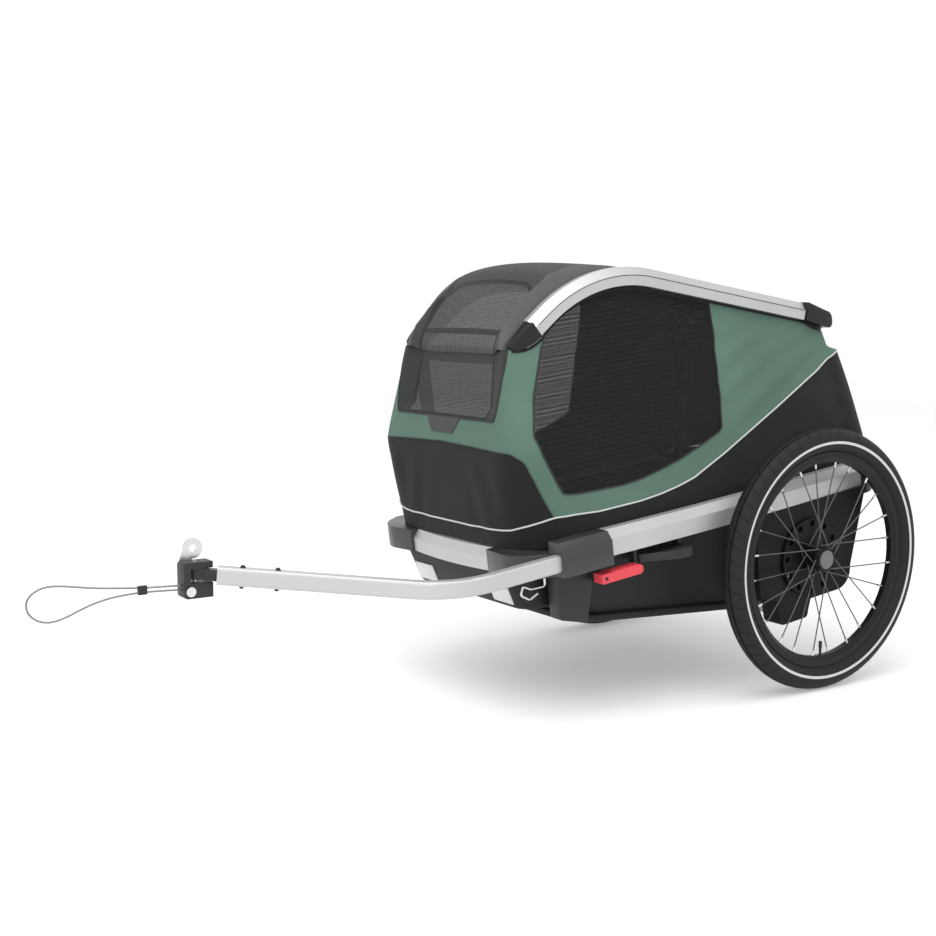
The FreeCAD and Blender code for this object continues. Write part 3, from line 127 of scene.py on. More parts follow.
def roundEdges(piece, width, degrees=30, segments=3):
    applyModifier(piece, "BEVEL", width=width, segments=segments, limit_method="ANGLE",
                  angle_limit=math.radians(degrees))


def faceOut(piece, lead):
    # turns every face over where most of them look away from the lead at their middle
    if sum(face.normal.dot(lead(face.center)) for face in piece.data.polygons) < 0:
        editAll(piece, (bpy.ops.mesh.flip_normals, {}))


def addPrimitive(name, step, **settings):
    bpy.ops.object.select_all(action="DESELECT")
    step(**settings)
    piece = bpy.context.object
    piece.name = piece.data.name = name
    return piece


def getPlaces(piece):
    flat = np.empty(len(piece.data.vertices) * 3)
    piece.data.vertices.foreach_get("co", flat)
    return flat.reshape(-1, 3)


def setPlaces(piece, places):
    piece.data.vertices.foreach_set("co", places.ravel())
    piece.data.update()


def ramp(value, low, high):
    return np.clip((value - low) / (high - low), 0, 1)


def smoothStep(value):
    return value * value * (3 - 2 * value)


def tubeCurve(name, kind, lines, radius, rings):
    curve = bpy.data.curves.new(name, "CURVE")
    curve.dimensions = "3D"
    for line in lines:
        spline = curve.splines.new(kind)
        spline.points.add(len(line) - 1)
        for control, point in zip(spline.points, line):
            control.co = (*point, 1.0)
    curve.bevel_depth = radius
    curve.bevel_resolution = rings
    curve.use_fill_caps = True
    return addObject(name, curve)


def dress(piece, *materials):
    piece.data.materials.clear()
    for material in materials:
        piece.data.materials.append(material)


def finishPiece(piece, body, replaced=()):
    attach(piece, body)
    if replaced:
        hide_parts(*replaced)
    return piece


# shader nodes: values may be sockets, which are linked, or plain settings
def feed(tree, node, values):
    for label, value in values.items():
        if isinstance(value, bpy.types.NodeSocket):
            tree.links.new(value, node.inputs[label])
        else:
            node.inputs[label].default_value = value


def addNode(tree, kind, values=(), **settings):
    node = tree.nodes.new("ShaderNode" + kind)
    for key, value in settings.items():
        setattr(node, key, value)
    feed(tree, node, dict(values))
    return node


def mathNode(tree, operation, *values, clamp=False):
    return addNode(tree, "Math", enumerate(values), operation=operation, use_clamp=clamp).outputs[0]


def mixColour(tree, factor, first, second):
    return addNode(tree, "Mix", {0: factor, 6: first, 7: second}, data_type="RGBA").outputs[2]


def paint(tree, shader, factor, first, second):
    feed(tree, shader, {"Base Color": mixColour(tree, factor, first, second)})


def threshold(tree, value, low, high):
    return addNode(tree, "MapRange", {0: value, 1: low, 2: high}).outputs[0]


def objectPlace(tree):
    return addNode(tree, "TexCoord").outputs["Object"]


def addBump(tree, shader, height, strength, distance):
    bump = addNode(tree, "Bump", {"Strength": strength, "Distance": distance, "Height": height})
    feed(tree, shader, {"Normal": bump.outputs[0]})


def newMaterial(name, values=()):
    material = bpy.data.materials.new(name)
    material.use_nodes = True
    shader = material.node_tree.nodes["Principled BSDF"]
    feed(material.node_tree, shader, dict(values))
    return material, material.node_tree, shader


# groups shared by the finishes: a place and numbers go in, numbers come out
def newGroup(name, inputs, outputs):
    group = bpy.data.node_groups.new(name, "ShaderNodeTree")
    addSocket = group.interface.new_socket
    addSocket("Vector", in_out="INPUT", socket_type="NodeSocketVector")
    for label, value in inputs.items():
        addSocket(label, in_out="INPUT", socket_type="NodeSocketFloat").default_value = value
    for label in outputs:
        addSocket(label, in_out="OUTPUT", socket_type="NodeSocketFloat")
    return group, group.nodes.new("NodeGroupInput").outputs, group.nodes.new("NodeGroupOutput")


def useGroup(tree, group, vector, **values):
    return addNode(tree, "Group", {"Vector": vector, **values}, node_tree=group)


def makeGrain():
    group, given, out = newGroup("moulded grain", {"Scale": 900.0, "Patch": 9.0}, ("Height", "Shade"))
    for size, detail, label in (("Scale", 3.0, "Height"), ("Patch", 4.0, "Shade")):
        values = {"Vector": given["Vector"], "Scale": given[size], "Detail": detail}
        noise = addNode(group, "TexNoise", values)
        feed(group, out, {label: noise.outputs["Fac"]})
    return group


def makeWeave():
    group, given, out = newGroup("plain weave", {"Threads": 700.0}, ("Height",))
    scaled = addNode(group, "VectorMath", {0: given["Vector"], "Scale": given["Threads"]}, operation="SCALE")
    parts = addNode(group, "SeparateXYZ", {0: scaled.outputs[0]}).outputs
    warp, weft = (mathNode(group, "SINE", mathNode(group, "MULTIPLY", part, math.tau)) for part in parts[:2])
    crossed = mathNode(group, "MULTIPLY", warp, weft)
    feed(group, out, {"Height": mathNode(group, "MULTIPLY_ADD", crossed, 0.5, 0.5)})
    return group


grainGroup = makeGrain()
weaveGroup = makeWeave()


def shaded(colour, factor):
    return tuple(min(1.0, part * factor) for part in colour[:3]) + (1.0,)


def solidFinish(name, colour, roughness, metallic, grain, bump, spread, ior):
    material, tree, shader = newMaterial(name, {"Metallic": metallic, "IOR": ior})
    pattern = useGroup(tree, grainGroup, objectPlace(tree), Scale=grain, Patch=9.0).outputs
    tone = threshold(tree, pattern["Shade"], 0.3, 0.7)
    feed(tree, shader, {
        "Base Color": mixColour(tree, tone, shaded(colour, 1.0 - spread), shaded(colour, 1.0 + spread)),
        "Roughness": mathNode(tree, "MULTIPLY_ADD", pattern["Shade"], 0.16, roughness - 0.08),
    })
    addBump(tree, shader, pattern["Height"], bump, 0.0004)
    return material


# colours in linear light, read off the photograph
tint = {
    "green": (0.128, 0.228, 0.176, 1.0),
    "dark": (0.0145, 0.0150, 0.0155, 1.0),
    "lining": (0.012, 0.013, 0.014, 1.0),
    "roof": (0.060, 0.062, 0.063, 1.0),
    "sideNet": (0.0165, 0.0170, 0.0175, 1.0),
    "frontNet": (0.116, 0.118, 0.118, 1.0),
    "plastic": (0.022, 0.022, 0.025, 1.0),
    "shadow": (0.013, 0.013, 0.014, 1.0),
    "silver": (0.55, 0.56, 0.565, 1.0),
    "red": (0.90, 0.075, 0.095, 1.0),
    "rubber": (0.013, 0.013, 0.014, 1.0),
    "black": (0.0, 0.0, 0.0, 1.0),
}

# colour, roughness, metallic, grain, bump, spread, refraction
solidSet = {
    "mouldedPlastic": (tint["plastic"], 0.44, 0.0, 1300.0, 0.22, 0.12, 1.42),
    "cornerPlastic": ((0.040, 0.040, 0.045, 1.0), 0.30, 0.0, 1300.0, 0.16, 0.12, 1.5),
    "capPlastic": (tint["shadow"], 0.42, 0.0, 1300.0, 0.20, 0.12, 1.36),
    "tubPlastic": (tint["shadow"], 0.52, 0.0, 700.0, 0.30, 0.12, 1.34),
    "satinAlloy": (tint["silver"], 0.50, 0.65, 2200.0, 0.05, 0.03, 1.5),
    "brightSteel": ((0.62, 0.62, 0.63, 1.0), 0.24, 1.0, 1500.0, 0.05, 0.04, 1.5),
    "blackRim": ((0.008, 0.008, 0.009, 1.0), 0.42, 0.0, 1600.0, 0.06, 0.12, 1.32),
    "hubBlack": ((0.006, 0.006, 0.0065, 1.0), 0.50, 0.0, 1300.0, 0.15, 0.12, 1.28),
    "leverRed": (tint["red"], 0.40, 0.0, 1200.0, 0.12, 0.05, 1.5),
    "buttonGrey": ((0.16, 0.16, 0.17, 1.0), 0.38, 0.4, 1200.0, 0.08, 0.12, 1.5),
    "boltBlack": ((0.03, 0.03, 0.032, 1.0), 0.38, 0.6, 1500.0, 0.08, 0.12, 1.5),
    "linkGrey": ((0.06, 0.06, 0.065, 1.0), 0.42, 0.6, 1600.0, 0.05, 0.12, 1.5),
    "tubeRubber": (tint["rubber"], 0.60, 0.0, 900.0, 0.1, 0.12, 1.5),
    "pipingWhite": ((0.66, 0.68, 0.67, 1.0), 0.55, 0.0, 2500.0, 0.2, 0.04, 1.5),
    "bindingDark": ((0.026, 0.027, 0.028, 1.0), 0.75, 0.0, 2600.0, 0.35, 0.12, 1.5),
    "sleeveCloth": ((0.115, 0.117, 0.118, 1.0), 0.82, 0.0, 2600.0, 0.3, 0.12, 1.36),
    "tabDark": ((0.045, 0.046, 0.050, 1.0), 0.55, 0.0, 2600.0, 0.3, 0.12, 1.5),
}
finish = {name: solidFinish(name, *row) for name, row in solidSet.items()}


def makeReflector():
    material, tree, shader = newMaterial("reflectorWhite", {"Roughness": 0.14, "Coat Weight": 0.6})
    cells = addNode(tree, "TexVoronoi", {"Scale": 260.0, "Vector": objectPlace(tree)}).outputs["Distance"]
    paint(tree, shader, cells, (0.93, 0.93, 0.93, 1.0), (0.72, 0.73, 0.74, 1.0))
    addBump(tree, shader, cells, 0.5, 0.0008)
    return material


finish["reflectorWhite"] = makeReflector()


# wheel: distances are taken from its axle; spokes end in bright nipples
tyreSet = {
    "axle": (-0.4695, 0.0, 0.250), "middle": 0.333, "ring": 0.2240, "ringHalf": 0.0025, "wall": 0.014,
    "sipes": 56, "sipeWide": 0.13, "slant": 26.0, "tread": (0.2325, 0.2345), "groove": (0.0045, 0.0011),
    "nipple": 0.1755,
}


def wheelPlace(tree, spec):
    shift = tuple(-part for part in spec["axle"])
    place = addNode(tree, "Mapping", {"Location": shift, "Vector": objectPlace(tree)}).outputs[0]
    x, y, z = addNode(tree, "SeparateXYZ", {0: place}).outputs
    square = mathNode(tree, "ADD", mathNode(tree, "MULTIPLY", x, x), mathNode(tree, "MULTIPLY", z, z))
    return place, x, y, z, mathNode(tree, "SQRT", square)


def makeSpokes(spec):
    material, tree, shader = newMaterial("spokeSteel", {"Metallic": 0.7, "Roughness": 0.36})
    end = mathNode(tree, "GREATER_THAN", wheelPlace(tree, spec)[-1], spec["nipple"])
    paint(tree, shader, end, (0.12, 0.12, 0.125, 1.0), (0.80, 0.80, 0.80, 1.0))
    return material


finish["spokeSteel"] = makeSpokes(tyreSet)


# tyre: plain wall with a pale reflective ring, sipes across the tread; sipes and tread grooves carry painted
# shade in their colour
def makeTyre(spec):
    material, tree, shader = newMaterial("tyreRubber", {"IOR": 1.36})
    calc, mix = partial(mathNode, tree), partial(mixColour, tree)
    place, x, y, z, radius = wheelPlace(tree, spec)
    side = calc("ABSOLUTE", calc("SUBTRACT", calc("ABSOLUTE", y), spec["middle"]))
    ring = calc("COMPARE", radius, spec["ring"], spec["ringHalf"])
    ring = calc("MULTIPLY", ring, calc("GREATER_THAN", side, spec["wall"]))
    pattern = useGroup(tree, grainGroup, place, Scale=1100.0, Patch=16.0).outputs
    tone = mix(pattern["Shade"], shaded(tint["rubber"], 0.8), shaded(tint["rubber"], 1.35))
    tone = mix(ring, tone, (0.78, 0.78, 0.76, 1.0))
    turn = calc("MULTIPLY", calc("ARCTAN2", z, x), spec["sipes"] / math.tau)
    slant = calc("FRACT", calc("MULTIPLY_ADD", side, spec["slant"], turn))
    sipe = calc("LESS_THAN", slant, spec["sipeWide"])
    tread = calc("MULTIPLY", sipe, threshold(tree, radius, *spec["tread"]))
    groove = calc("ABSOLUTE", calc("SUBTRACT", side, spec["groove"][0]))
    cutInAndShade = calc("MAXIMUM", tread, calc("LESS_THAN", groove, spec["groove"][1]))
    # base colour: painted shade, near black, in the sipes and tread grooves; the same mask lowers the bump
    # there
    feed(tree, shader, {
        "Base Color": mix(calc("MULTIPLY", cutInAndShade, 0.75), tone, tint["black"]),
        "Roughness": calc("MULTIPLY_ADD", ring, -0.25, 0.66),
    })
    height = calc("MULTIPLY_ADD", pattern["Height"], 0.12, calc("SUBTRACT", 1.0, cutInAndShade))
    addBump(tree, shader, height, 0.8, 0.0016)
    return material


finish["tyreRubber"] = makeTyre(tyreSet)


# cabin fabric: one cloth whose panels are marked by distance to their seams, kept in attributes
clothSet = {
    "threads": 640.0, "ior": 1.36, "binding": 7.0, "stitch": (2.2, 0.6), "lean": 0.12,
    "sideAlpha": 0.52, "sideLines": 120.0, "sideDepth": 0.09,
    "frontAlpha": 0.60, "frontLines": 112.0, "frontDepth": 0.20,
}


def makeCloth(name, green, dark, trim, spec):
    material, tree, shader = newMaterial(
        name, {"Roughness": 0.82, "IOR": spec["ior"], "Sheen Weight": 0.05, "Sheen Roughness": 0.5})
    calc, mix = partial(mathNode, tree), partial(mixColour, tree)
    greenSeam, meshSeam, frontMesh = (addNode(tree, "Attribute", attribute_name=label).outputs["Fac"]
                                      for label in ("greenSeam", "meshSeam", "frontMesh"))
    uv = addNode(tree, "UVMap", uv_map="cut").outputs[0]
    weave = useGroup(tree, weaveGroup, uv, Threads=spec["threads"]).outputs["Height"]
    across, up = addNode(tree, "SeparateXYZ", {0: uv}).outputs[:2]
    lean = calc("MULTIPLY_ADD", up, spec["lean"], across)
    upright = calc("SINE", calc("MULTIPLY", lean, math.tau * spec["frontLines"]))
    level = calc("SINE", calc("MULTIPLY", up, math.tau * spec["sideLines"]))
    isFront = calc("GREATER_THAN", frontMesh, 0.5)
    lines = calc("MULTIPLY_ADD", isFront, calc("SUBTRACT", upright, level), level)
    shade = useGroup(tree, grainGroup, objectPlace(tree), Scale=240.0, Patch=7.0).outputs["Shade"]
    tone = threshold(tree, shade, 0.3, 0.7)
    isGreen, isMesh = (threshold(tree, seam, -0.5, 0.5) for seam in (greenSeam, meshSeam))
    greenTone = mix(tone, shaded(green, 0.93), shaded(green, 1.07))
    darkTone = mix(tone, shaded(dark, 0.88), shaded(dark, 1.12))
    trimTone = mix(tone, shaded(trim, 0.9), shaded(trim, 1.1))
    # a darker band along the front and roof nets' edges, half the trim's tone
    netEdgeBand = calc("COMPARE", meshSeam, -spec["binding"] / 2, spec["binding"] / 2)
    trimTone = mix(netEdgeBand, trimTone, shaded(trim, 0.5))
    cloth = mix(isGreen, mix(frontMesh, darkTone, trimTone), greenTone)
    cloth = mix(calc("MULTIPLY", weave, 0.16), cloth, tint["black"])
    stitched = calc("COMPARE", greenSeam, *spec["stitch"])
    cloth = mix(calc("MULTIPLY", stitched, 0.25), cloth, tint["black"])
    net = mix(frontMesh, tint["sideNet"], tint["frontNet"])
    ply = calc("MULTIPLY_ADD", frontMesh, spec["frontAlpha"] - spec["sideAlpha"], spec["sideAlpha"])
    depth = calc("MULTIPLY_ADD", isFront, spec["frontDepth"] - spec["sideDepth"], spec["sideDepth"])
    cover = calc("MULTIPLY_ADD", lines, depth, ply)
    see = calc("MULTIPLY", isMesh, calc("SUBTRACT", 1.0, cover))
    alpha = calc("SUBTRACT", 1.0, see, clamp=True)
    feed(tree, shader, {"Base Color": mix(isMesh, cloth, net), "Alpha": alpha})
    addBump(tree, shader, calc("MULTIPLY_ADD", shade, 3.0, weave), 0.35, 0.0012)
    return material


cabinCloth = makeCloth("cabinCloth", tint["green"], tint["dark"], tint["roof"], clothSet)
cabinLining = makeCloth("cabinLining", tint["lining"], tint["lining"], tint["lining"], clothSet)


def makePadCloth():
    material, tree, shader = newMaterial("padCloth", {"Roughness": 0.88})
    place = objectPlace(tree)
    weave = useGroup(tree, weaveGroup, place, Threads=420.0).outputs["Height"]
    shade = useGroup(tree, grainGroup, place, Scale=500.0, Patch=8.0).outputs["Shade"]
    paint(tree, shader, shade, (0.045, 0.046, 0.048, 1.0), (0.075, 0.076, 0.078, 1.0))
    addBump(tree, shader, weave, 0.4, 0.0008)
    return material


padCloth = makePadCloth()


def makeWire():
    material, tree, shader = newMaterial("leashWire", {"Metallic": 0.75, "Roughness": 0.38})
    settings = {"Scale": 260.0, "Vector": objectPlace(tree)}
    wave = addNode(tree, "TexWave", settings, bands_direction="DIAGONAL").outputs["Fac"]
    paint(tree, shader, wave, (0.13, 0.13, 0.13, 1.0), (0.34, 0.34, 0.34, 1.0))
    addBump(tree, shader, wave, 0.6, 0.0005)
    return material


leashWire = makeWire()
print("finishes made:", len(bpy.data.materials))

# safety leash: steel wire, both ends in the coupling, points from the coupling's hitch point in millimetres
leashSet = {
    "hitch": (695.5, 80.0, 305.0),
    "diameter": 0.003,
    "length": 0.523,
    "route": [
        (24.4, -17), (48, -16), (88, -14), (130, -10), (172, -5), (208, 2), (236, 5), (257, -1), (270, -15),
        (268, -33), (254, -47), (234, -52), (211, -47), (187, -37), (160, -28), (131, -23), (104, -21.5),
        (88, -21), (48, -22.5), (24.4, -24),
    ],
}


def makeLeash(spec):
    hx, hy, hz = spec["hitch"]
    points = [((hx + x) / 1000.0, hy / 1000.0, (hz + z) / 1000.0) for x, z in spec["route"]]
    leash = tubeCurve("safetyLeash", "NURBS", [points], spec["diameter"] / 2, 3)
    spline = leash.data.splines[0]
    spline.order_u = 3
    spline.use_endpoint_u = True
    spline.resolution_u = 10
    dress(leash, leashWire)
    finishPiece(leash, bodyOf["safety_leash"], ["safety_leash"])


makeLeash(leashSet)
print("leash laid")

# roof arches' middle line, as in the CAD source
archSet = {
    "front": (524.0, 379.0), "bendFrom": (493.6, 399.5), "centre": (340.0, 171.4), "radius": 275.0,
    "bendTo": (261.7, 435.1), "rear": (-99.0, 328.0), "side": 206.0, "toe": 36.0,
}


def archMiddle(u):
    spec = archSet
    u = np.asarray(u, float)
    arc = spec["centre"][1] + np.sqrt(np.maximum(spec["radius"] ** 2 - (u - spec["centre"][0]) ** 2, 0.0))
    front = np.interp(u, *zip(spec["bendFrom"], spec["front"]))
    rear = np.interp(u, *zip(spec["rear"], spec["bendTo"]))
    return np.where(u > spec["bendFrom"][0], front, np.where(u > spec["bendTo"][0], arc, rear))


def archSide(u):
    reach = archSet["front"][0] - archSet["rear"][0]
    return archSet["side"] - archSet["toe"] * (np.asarray(u, float) - archSet["rear"][0]) / reach


# cabin walls: loops at the foot, at the front seam's height and at the top, columns from the front middle
# round the left side to the rear middle
wallSet = {
    "foot": 3.0, "seam": 172.0, "fold": 272.0, "cloth": 0.0024, "cell": 6.0, "tall": 360.0,
    "footFront": 628.0, "footHalf": 255.0, "footCorner": 115.0, "footRear": -228.0,
    "seamFront": 634.0, "seamHalf": 240.0, "seamCorner": 62.0,
    "topFront": 586.0, "topHalf": 150.0, "topHeight": 350.0, "topCorner": (21.0, 27.0),
    "rearCorner": 50.0, "topRear": (-140.0, -172.0), "topRearHalf": 180.0,
    "seamRear": 16.0, "rearTurn": 0.3, "rearWide": 26.0, "rearRise": (15.0, 4.0), "rearEase": 5.0,
    "belly": (5.0, 19.0, 0.4), "bend": (0.16, 0.13), "rearStep": (238.0, 250.0, 18.0, 60.0),
    "underArch": 18.3,
    "topSide": [(-140, 206), (-99, 206), (300, 183), (400, 178.5), (450, 177.5), (490, 180), (515, 183),
                (535, 183), (552, 180.5), (565, 177)],
    "underFront": [(510, 365), (514, 362), (522, 357.5), (535, 351.5), (548, 347), (562, 345.5), (575, 347),
                   (586, 350)],
    "underRear": [(-172, 272), (-150, 286), (-120, 297), (-104, 307.5), (-99, 309.7)],
    "dish": 14.0, "dishFoot": (231.0, 247.0), "dishInner": 136.0,
    "dishRim": [(231, 168), (340, 210), (372, 222)],
    "frontSpan": (250.0, 190.0), "columns": (34, 25, 121, 49), "drop": 241.0,
}
# soft creases: height, then wave length, slope and the spans in which they rise and fade
creaseSet = {
    "height": 1.4, "foot": (8.0, 38.0), "front": (0.9, 0.45, 11.0), "frontAt": (150.0, 75.0),
    "frontFade": (165.0, 125.0), "side": (-0.42, 8.5), "sideRise": (640.0, 760.0),
    "sideFade": (1150.0, 1050.0), "sideTop": (30.0, 70.0),
}


def archFoot(u):
    spec = wallSet
    u = np.asarray(u, float)
    line = archMiddle(u) - spec["underArch"]
    line = np.where(u > spec["underFront"][0][0], np.interp(u, *zip(*spec["underFront"])), line)
    return np.where(u < spec["underRear"][-1][0], np.interp(u, *zip(*spec["underRear"])), line)


def wallColumns(spec):
    # one row per column: foot u v, seam u v, top u v w, crispness of the seam fold, way out at the rear u v
    rows = []
    rise = spec["seam"] - spec["foot"]
    footHalf, footCorner, seamHalf, seamCorner, topHalf = (
        spec[label] for label in ("footHalf", "footCorner", "seamHalf", "seamCorner", "topHalf"))
    (topDeep, topWide), (rearFrom, rearTo) = spec["topCorner"], spec["topRear"]
    footU, seamU, topU = (spec[label] - corner for label, corner in (
        ("footFront", footCorner), ("seamFront", seamCorner), ("topFront", topDeep)))
    frontCount, cornerCount, sideCount, rearCount = spec["columns"]
    for f in np.linspace(0, 1, frontCount)[:-1]:
        rows.append((spec["footFront"], (footHalf - footCorner) * f,
                     spec["seamFront"], (seamHalf - seamCorner) * f,
                     spec["topFront"], topHalf * f, spec["topHeight"], 1, 0, 0))
    for a in np.linspace(0, math.pi / 2, cornerCount)[:-1]:
        c, n = math.cos(a), math.sin(a)
        u = topU + topDeep * c
        rows.append((footU + footCorner * c, footHalf - footCorner * (1 - n),
                     seamU + seamCorner * c, seamHalf - seamCorner * (1 - n),
                     u, topHalf + topWide * n, float(archFoot(u)), c ** 0.5, 0, 0))
    rearCorner = spec["rearCorner"]
    rearU = spec["footRear"] + rearCorner
    least, more, end = spec["belly"]
    for f in np.linspace(0, 1, sideCount)[:-1]:
        u = topU + (rearFrom - topU) * f
        v, w = float(np.interp(u, *zip(*spec["topSide"]))), float(archFoot(u))
        belly = least + more * max(0.0, 1 - f / end) ** 2
        middle = footHalf + (v - footHalf) * rise / (w - spec["foot"]) + belly
        rows.append((footU + (rearU - footU) * f, footHalf,
                     seamU + (rearFrom - spec["seamRear"] - seamU) * f, middle, u, v, w, 0, 0, 0))
    turn, ease, (lift, steep) = spec["rearTurn"], spec["rearEase"], spec["rearRise"]
    for f in np.linspace(0, 1, rearCount):
        a = min(f / turn, 1.0) * math.pi / 2
        across = 1 - max(f - turn, 0.0) / (1 - turn)
        c, n = math.cos(a), math.sin(a)
        u = rearFrom + (rearTo - rearFrom) * n
        v = (spec["topRearHalf"] + spec["rearWide"] * c) * across
        w = float(archFoot(u)) + lift * min(1.0, (1 - across) * steep)
        foot = (rearU - rearCorner * n, (footHalf - rearCorner * (1 - c)) * across)
        t = rise / (w - spec["foot"])
        rows.append((*foot, foot[0] + (u - foot[0]) * t - ease * n, foot[1] + (v - foot[1]) * t + ease * c,
                     u, v, w, 0, -n, c * n))
    rows = np.array(rows, float)
    run = np.concatenate([[0], np.cumsum(np.hypot(np.diff(rows[:, 2]), np.diff(rows[:, 3])))])
    return run, rows


wallRun, wallRows = wallColumns(wallSet)


def wallTop(h):
    return np.interp(np.abs(h), wallRun, wallRows[:, 6])


def wallCrease(run, w, high):
    spec = creaseSet
    along, up, wave = spec["front"]
    middle, spread = spec["frontAt"]
    front = np.sin((run * along + w * up) / wave) * np.exp(-((run - middle) / spread) ** 2)
    front = front * ramp(w, *spec["foot"]) * ramp(w, *spec["frontFade"])
    slope, wave = spec["side"]
    side = np.sin((w + run * slope) / wave) * ramp(run, *spec["sideRise"]) * ramp(run, *spec["sideFade"])
    side = side * ramp(w, *spec["foot"]) * ramp(w, *(high - part for part in spec["sideTop"]))
    return spec["height"] * (front + side)


def wallPlace(h, t):
    # h is the run along the wall from the front middle, left positive; t goes from foot to top
    spec = wallSet
    h, t = np.broadcast_arrays(np.asarray(h, float), np.asarray(t, float))
    run = np.abs(h)
    column = [np.interp(run, wallRun, wallRows[:, index]) for index in range(wallRows.shape[1])]
    high = column[6]
    w = spec["foot"] * (1 - t) + high * t
    at = (spec["seam"] - spec["foot"]) / (high - spec["foot"])
    soft, crisp = spec["bend"]
    ease = np.sqrt((t - at) ** 2 + (soft - crisp * column[7]) ** 2)
    low, edge, proud, fade = spec["rearStep"]
    proud = proud * ramp(w, edge, low) * ramp(w, spec["foot"], spec["foot"] + fade)
    place = []
    for index in (0, 1):
        foot, seam, top = column[index], column[index + 2], column[index + 4]
        before, after = (seam - foot) / at, (top - seam) / (1 - at)
        bent = seam + (before + after) / 2 * (t - at) + (after - before) / 2 * ease
        place.append(bent + column[index + 8] * proud)
    rim = np.interp(w, *zip(*spec["dishRim"]))
    back = smoothStep(ramp(run, rim, spec["dishInner"])) * ramp(w, *spec["dishFoot"])
    ahead = ramp(run, *spec["frontSpan"])
    crease = wallCrease(run, w, high)
    place[0] = place[0] - spec["dish"] * back + crease * ahead
    place[1] = place[1] + crease * (1 - ahead) * (column[8] == 0)
    return place[0], place[1] * np.where(h < 0, -1.0, 1.0), w


def wallPoint(h, w):
    h, w = np.asarray(h, float), np.asarray(w, float)
    return wallPlace(h, ramp(w, wallSet["foot"], wallTop(h)))


def seamDistance(points, line):
    # distance from points to a seam line, in the cut's own plane
    line = np.asarray(line, float)
    best = np.full(len(points), 1e9)
    for start, end in zip(line[:-1], line[1:]):
        edge = end - start
        along = np.clip(((points - start) @ edge) / max(edge @ edge, 1e-9), 0, 1)
        best = np.minimum(best, np.hypot(*(points - start - along[:, None] * edge).T))
    return best


def insideLoop(points, loop):
    inside = np.zeros(len(points), bool)
    loop = np.asarray(loop, float)
    for (x1, y1), (x2, y2) in zip(loop, np.roll(loop, -1, axis=0)):
        crosses = (y1 > points[:, 1]) != (y2 > points[:, 1])
        place = x1 + (points[:, 1] - y1) * (x2 - x1) / (y2 - y1 if y2 != y1 else 1e-9)
        inside ^= crosses & (points[:, 0] < place)
    return inside


def loopDistance(points, loop):
    # distance to a closed seam, positive inside it
    return seamDistance(points, loop + loop[:1]) * np.where(insideLoop(points, loop), 1, -1)


# seams on the wall as (run, height)
seamSet = {
    "darkTop": [(0, 184), (105, 181), (156, 179), (196, 177), (211, 175), (222, 168), (233, 159), (240, 128),
                (246, 88), (251, 57)],
    "piping": [(0, 34), (80, 34), (181, 36), (200, 38), (217, 45), (251, 57), (276, 55), (331, 50), (428, 49),
               (479, 52), (530, 58), (573, 66), (613, 79), (669, 97), (737, 122), (830, 157), (910, 189),
               (966, 211), (1025, 236), (1060, 240), (1258, 241)],
    "window": [(331, 361), (317, 339), (304, 312), (294, 292), (280, 265), (271, 239), (262, 212), (260, 200),
               (264, 186), (269, 139), (271, 115), (273, 96), (280, 93), (300, 90), (352, 87), (405, 85),
               (446, 87), (501, 95), (556, 105), (623, 123), (671, 138), (680, 145), (697, 203), (708, 268),
               (719, 325), (724, 378), (680, 412), (600, 432), (540, 442), (480, 444), (440, 442), (400, 430),
               (360, 400)],
    "frontNet": [(-136, 233), (136, 233), (136, 390), (-136, 390)],
    "frontFrame": [(-171, 228), (171, 228), (198, 300), (228, 352), (238, 372), (-238, 372), (-228, 352),
                   (-198, 300)],
}


# far: mark well off a seam; arch: where the wall meets an arch, its hem and the hem of the net there
markSet = {
    "stripGreen": -20.0, "far": 30.0, "archFrom": 240.0, "archHem": 5.0, "netHem": 2.0, "frontMix": 0.62,
}


def markCloth(piece, h, w, strip=False):
    data, spec = piece.data, markSet
    points = np.stack([np.abs(h), w], -1)
    if strip:
        green = np.full(len(h), spec["stripGreen"])
        mesh, front = strip
    else:
        edge = seamSet["darkTop"] + seamSet["piping"][6:]
        above = w > np.interp(points[:, 0], *zip(*edge))
        green = seamDistance(points, edge) * np.where(above, 1, -1)
        window = loopDistance(points, seamSet["window"])
        signed = np.stack([h, w], -1)
        net = loopDistance(signed, seamSet["frontNet"])
        surround = loopDistance(signed, seamSet["frontFrame"])
        arch = np.where(points[:, 0] > spec["archFrom"], wallTop(h) - w - spec["archHem"], spec["far"])
        green = np.minimum.reduce([green, -window, -surround, arch])
        mesh = np.maximum(np.minimum(window, arch - spec["netHem"]), net)
        front = (surround > 0) * spec["frontMix"]
    for label, values in (("greenSeam", green), ("meshSeam", mesh), ("frontMesh", front)):
        attribute = data.attributes.new(label, "FLOAT", "POINT")
        attribute.data.foreach_set("value", np.asarray(values, np.float32))
    layer = data.uv_layers[0]
    layer.name = "cut"
    index = np.empty(len(data.loops), int)
    data.loops.foreach_get("vertex_index", index)
    layer.data.foreach_set("uv", (np.stack([h, w], -1)[index] / 1000.0).ravel())


def gridSheet(name, across, along, shape):
    piece = addPrimitive(name, bpy.ops.mesh.primitive_grid_add, x_subdivisions=across, y_subdivisions=along,
                         size=1.0, location=(0, 0, 0))
    a, b = getPlaces(piece).T[:2] + 0.5
    setPlaces(piece, shape(a, b))
    return piece, a, b


def copyPiece(piece, name):
    twin = piece.copy()
    twin.data = piece.data.copy()
    twin.name = twin.data.name = name
    bpy.context.scene.collection.objects.link(twin)
    return twin


foldPoint = Vector(onBase(0.0, 0.0, wallSet["fold"]).tolist())
footPoint = Vector(onBase(0.0, 0.0, wallSet["foot"]).tolist())


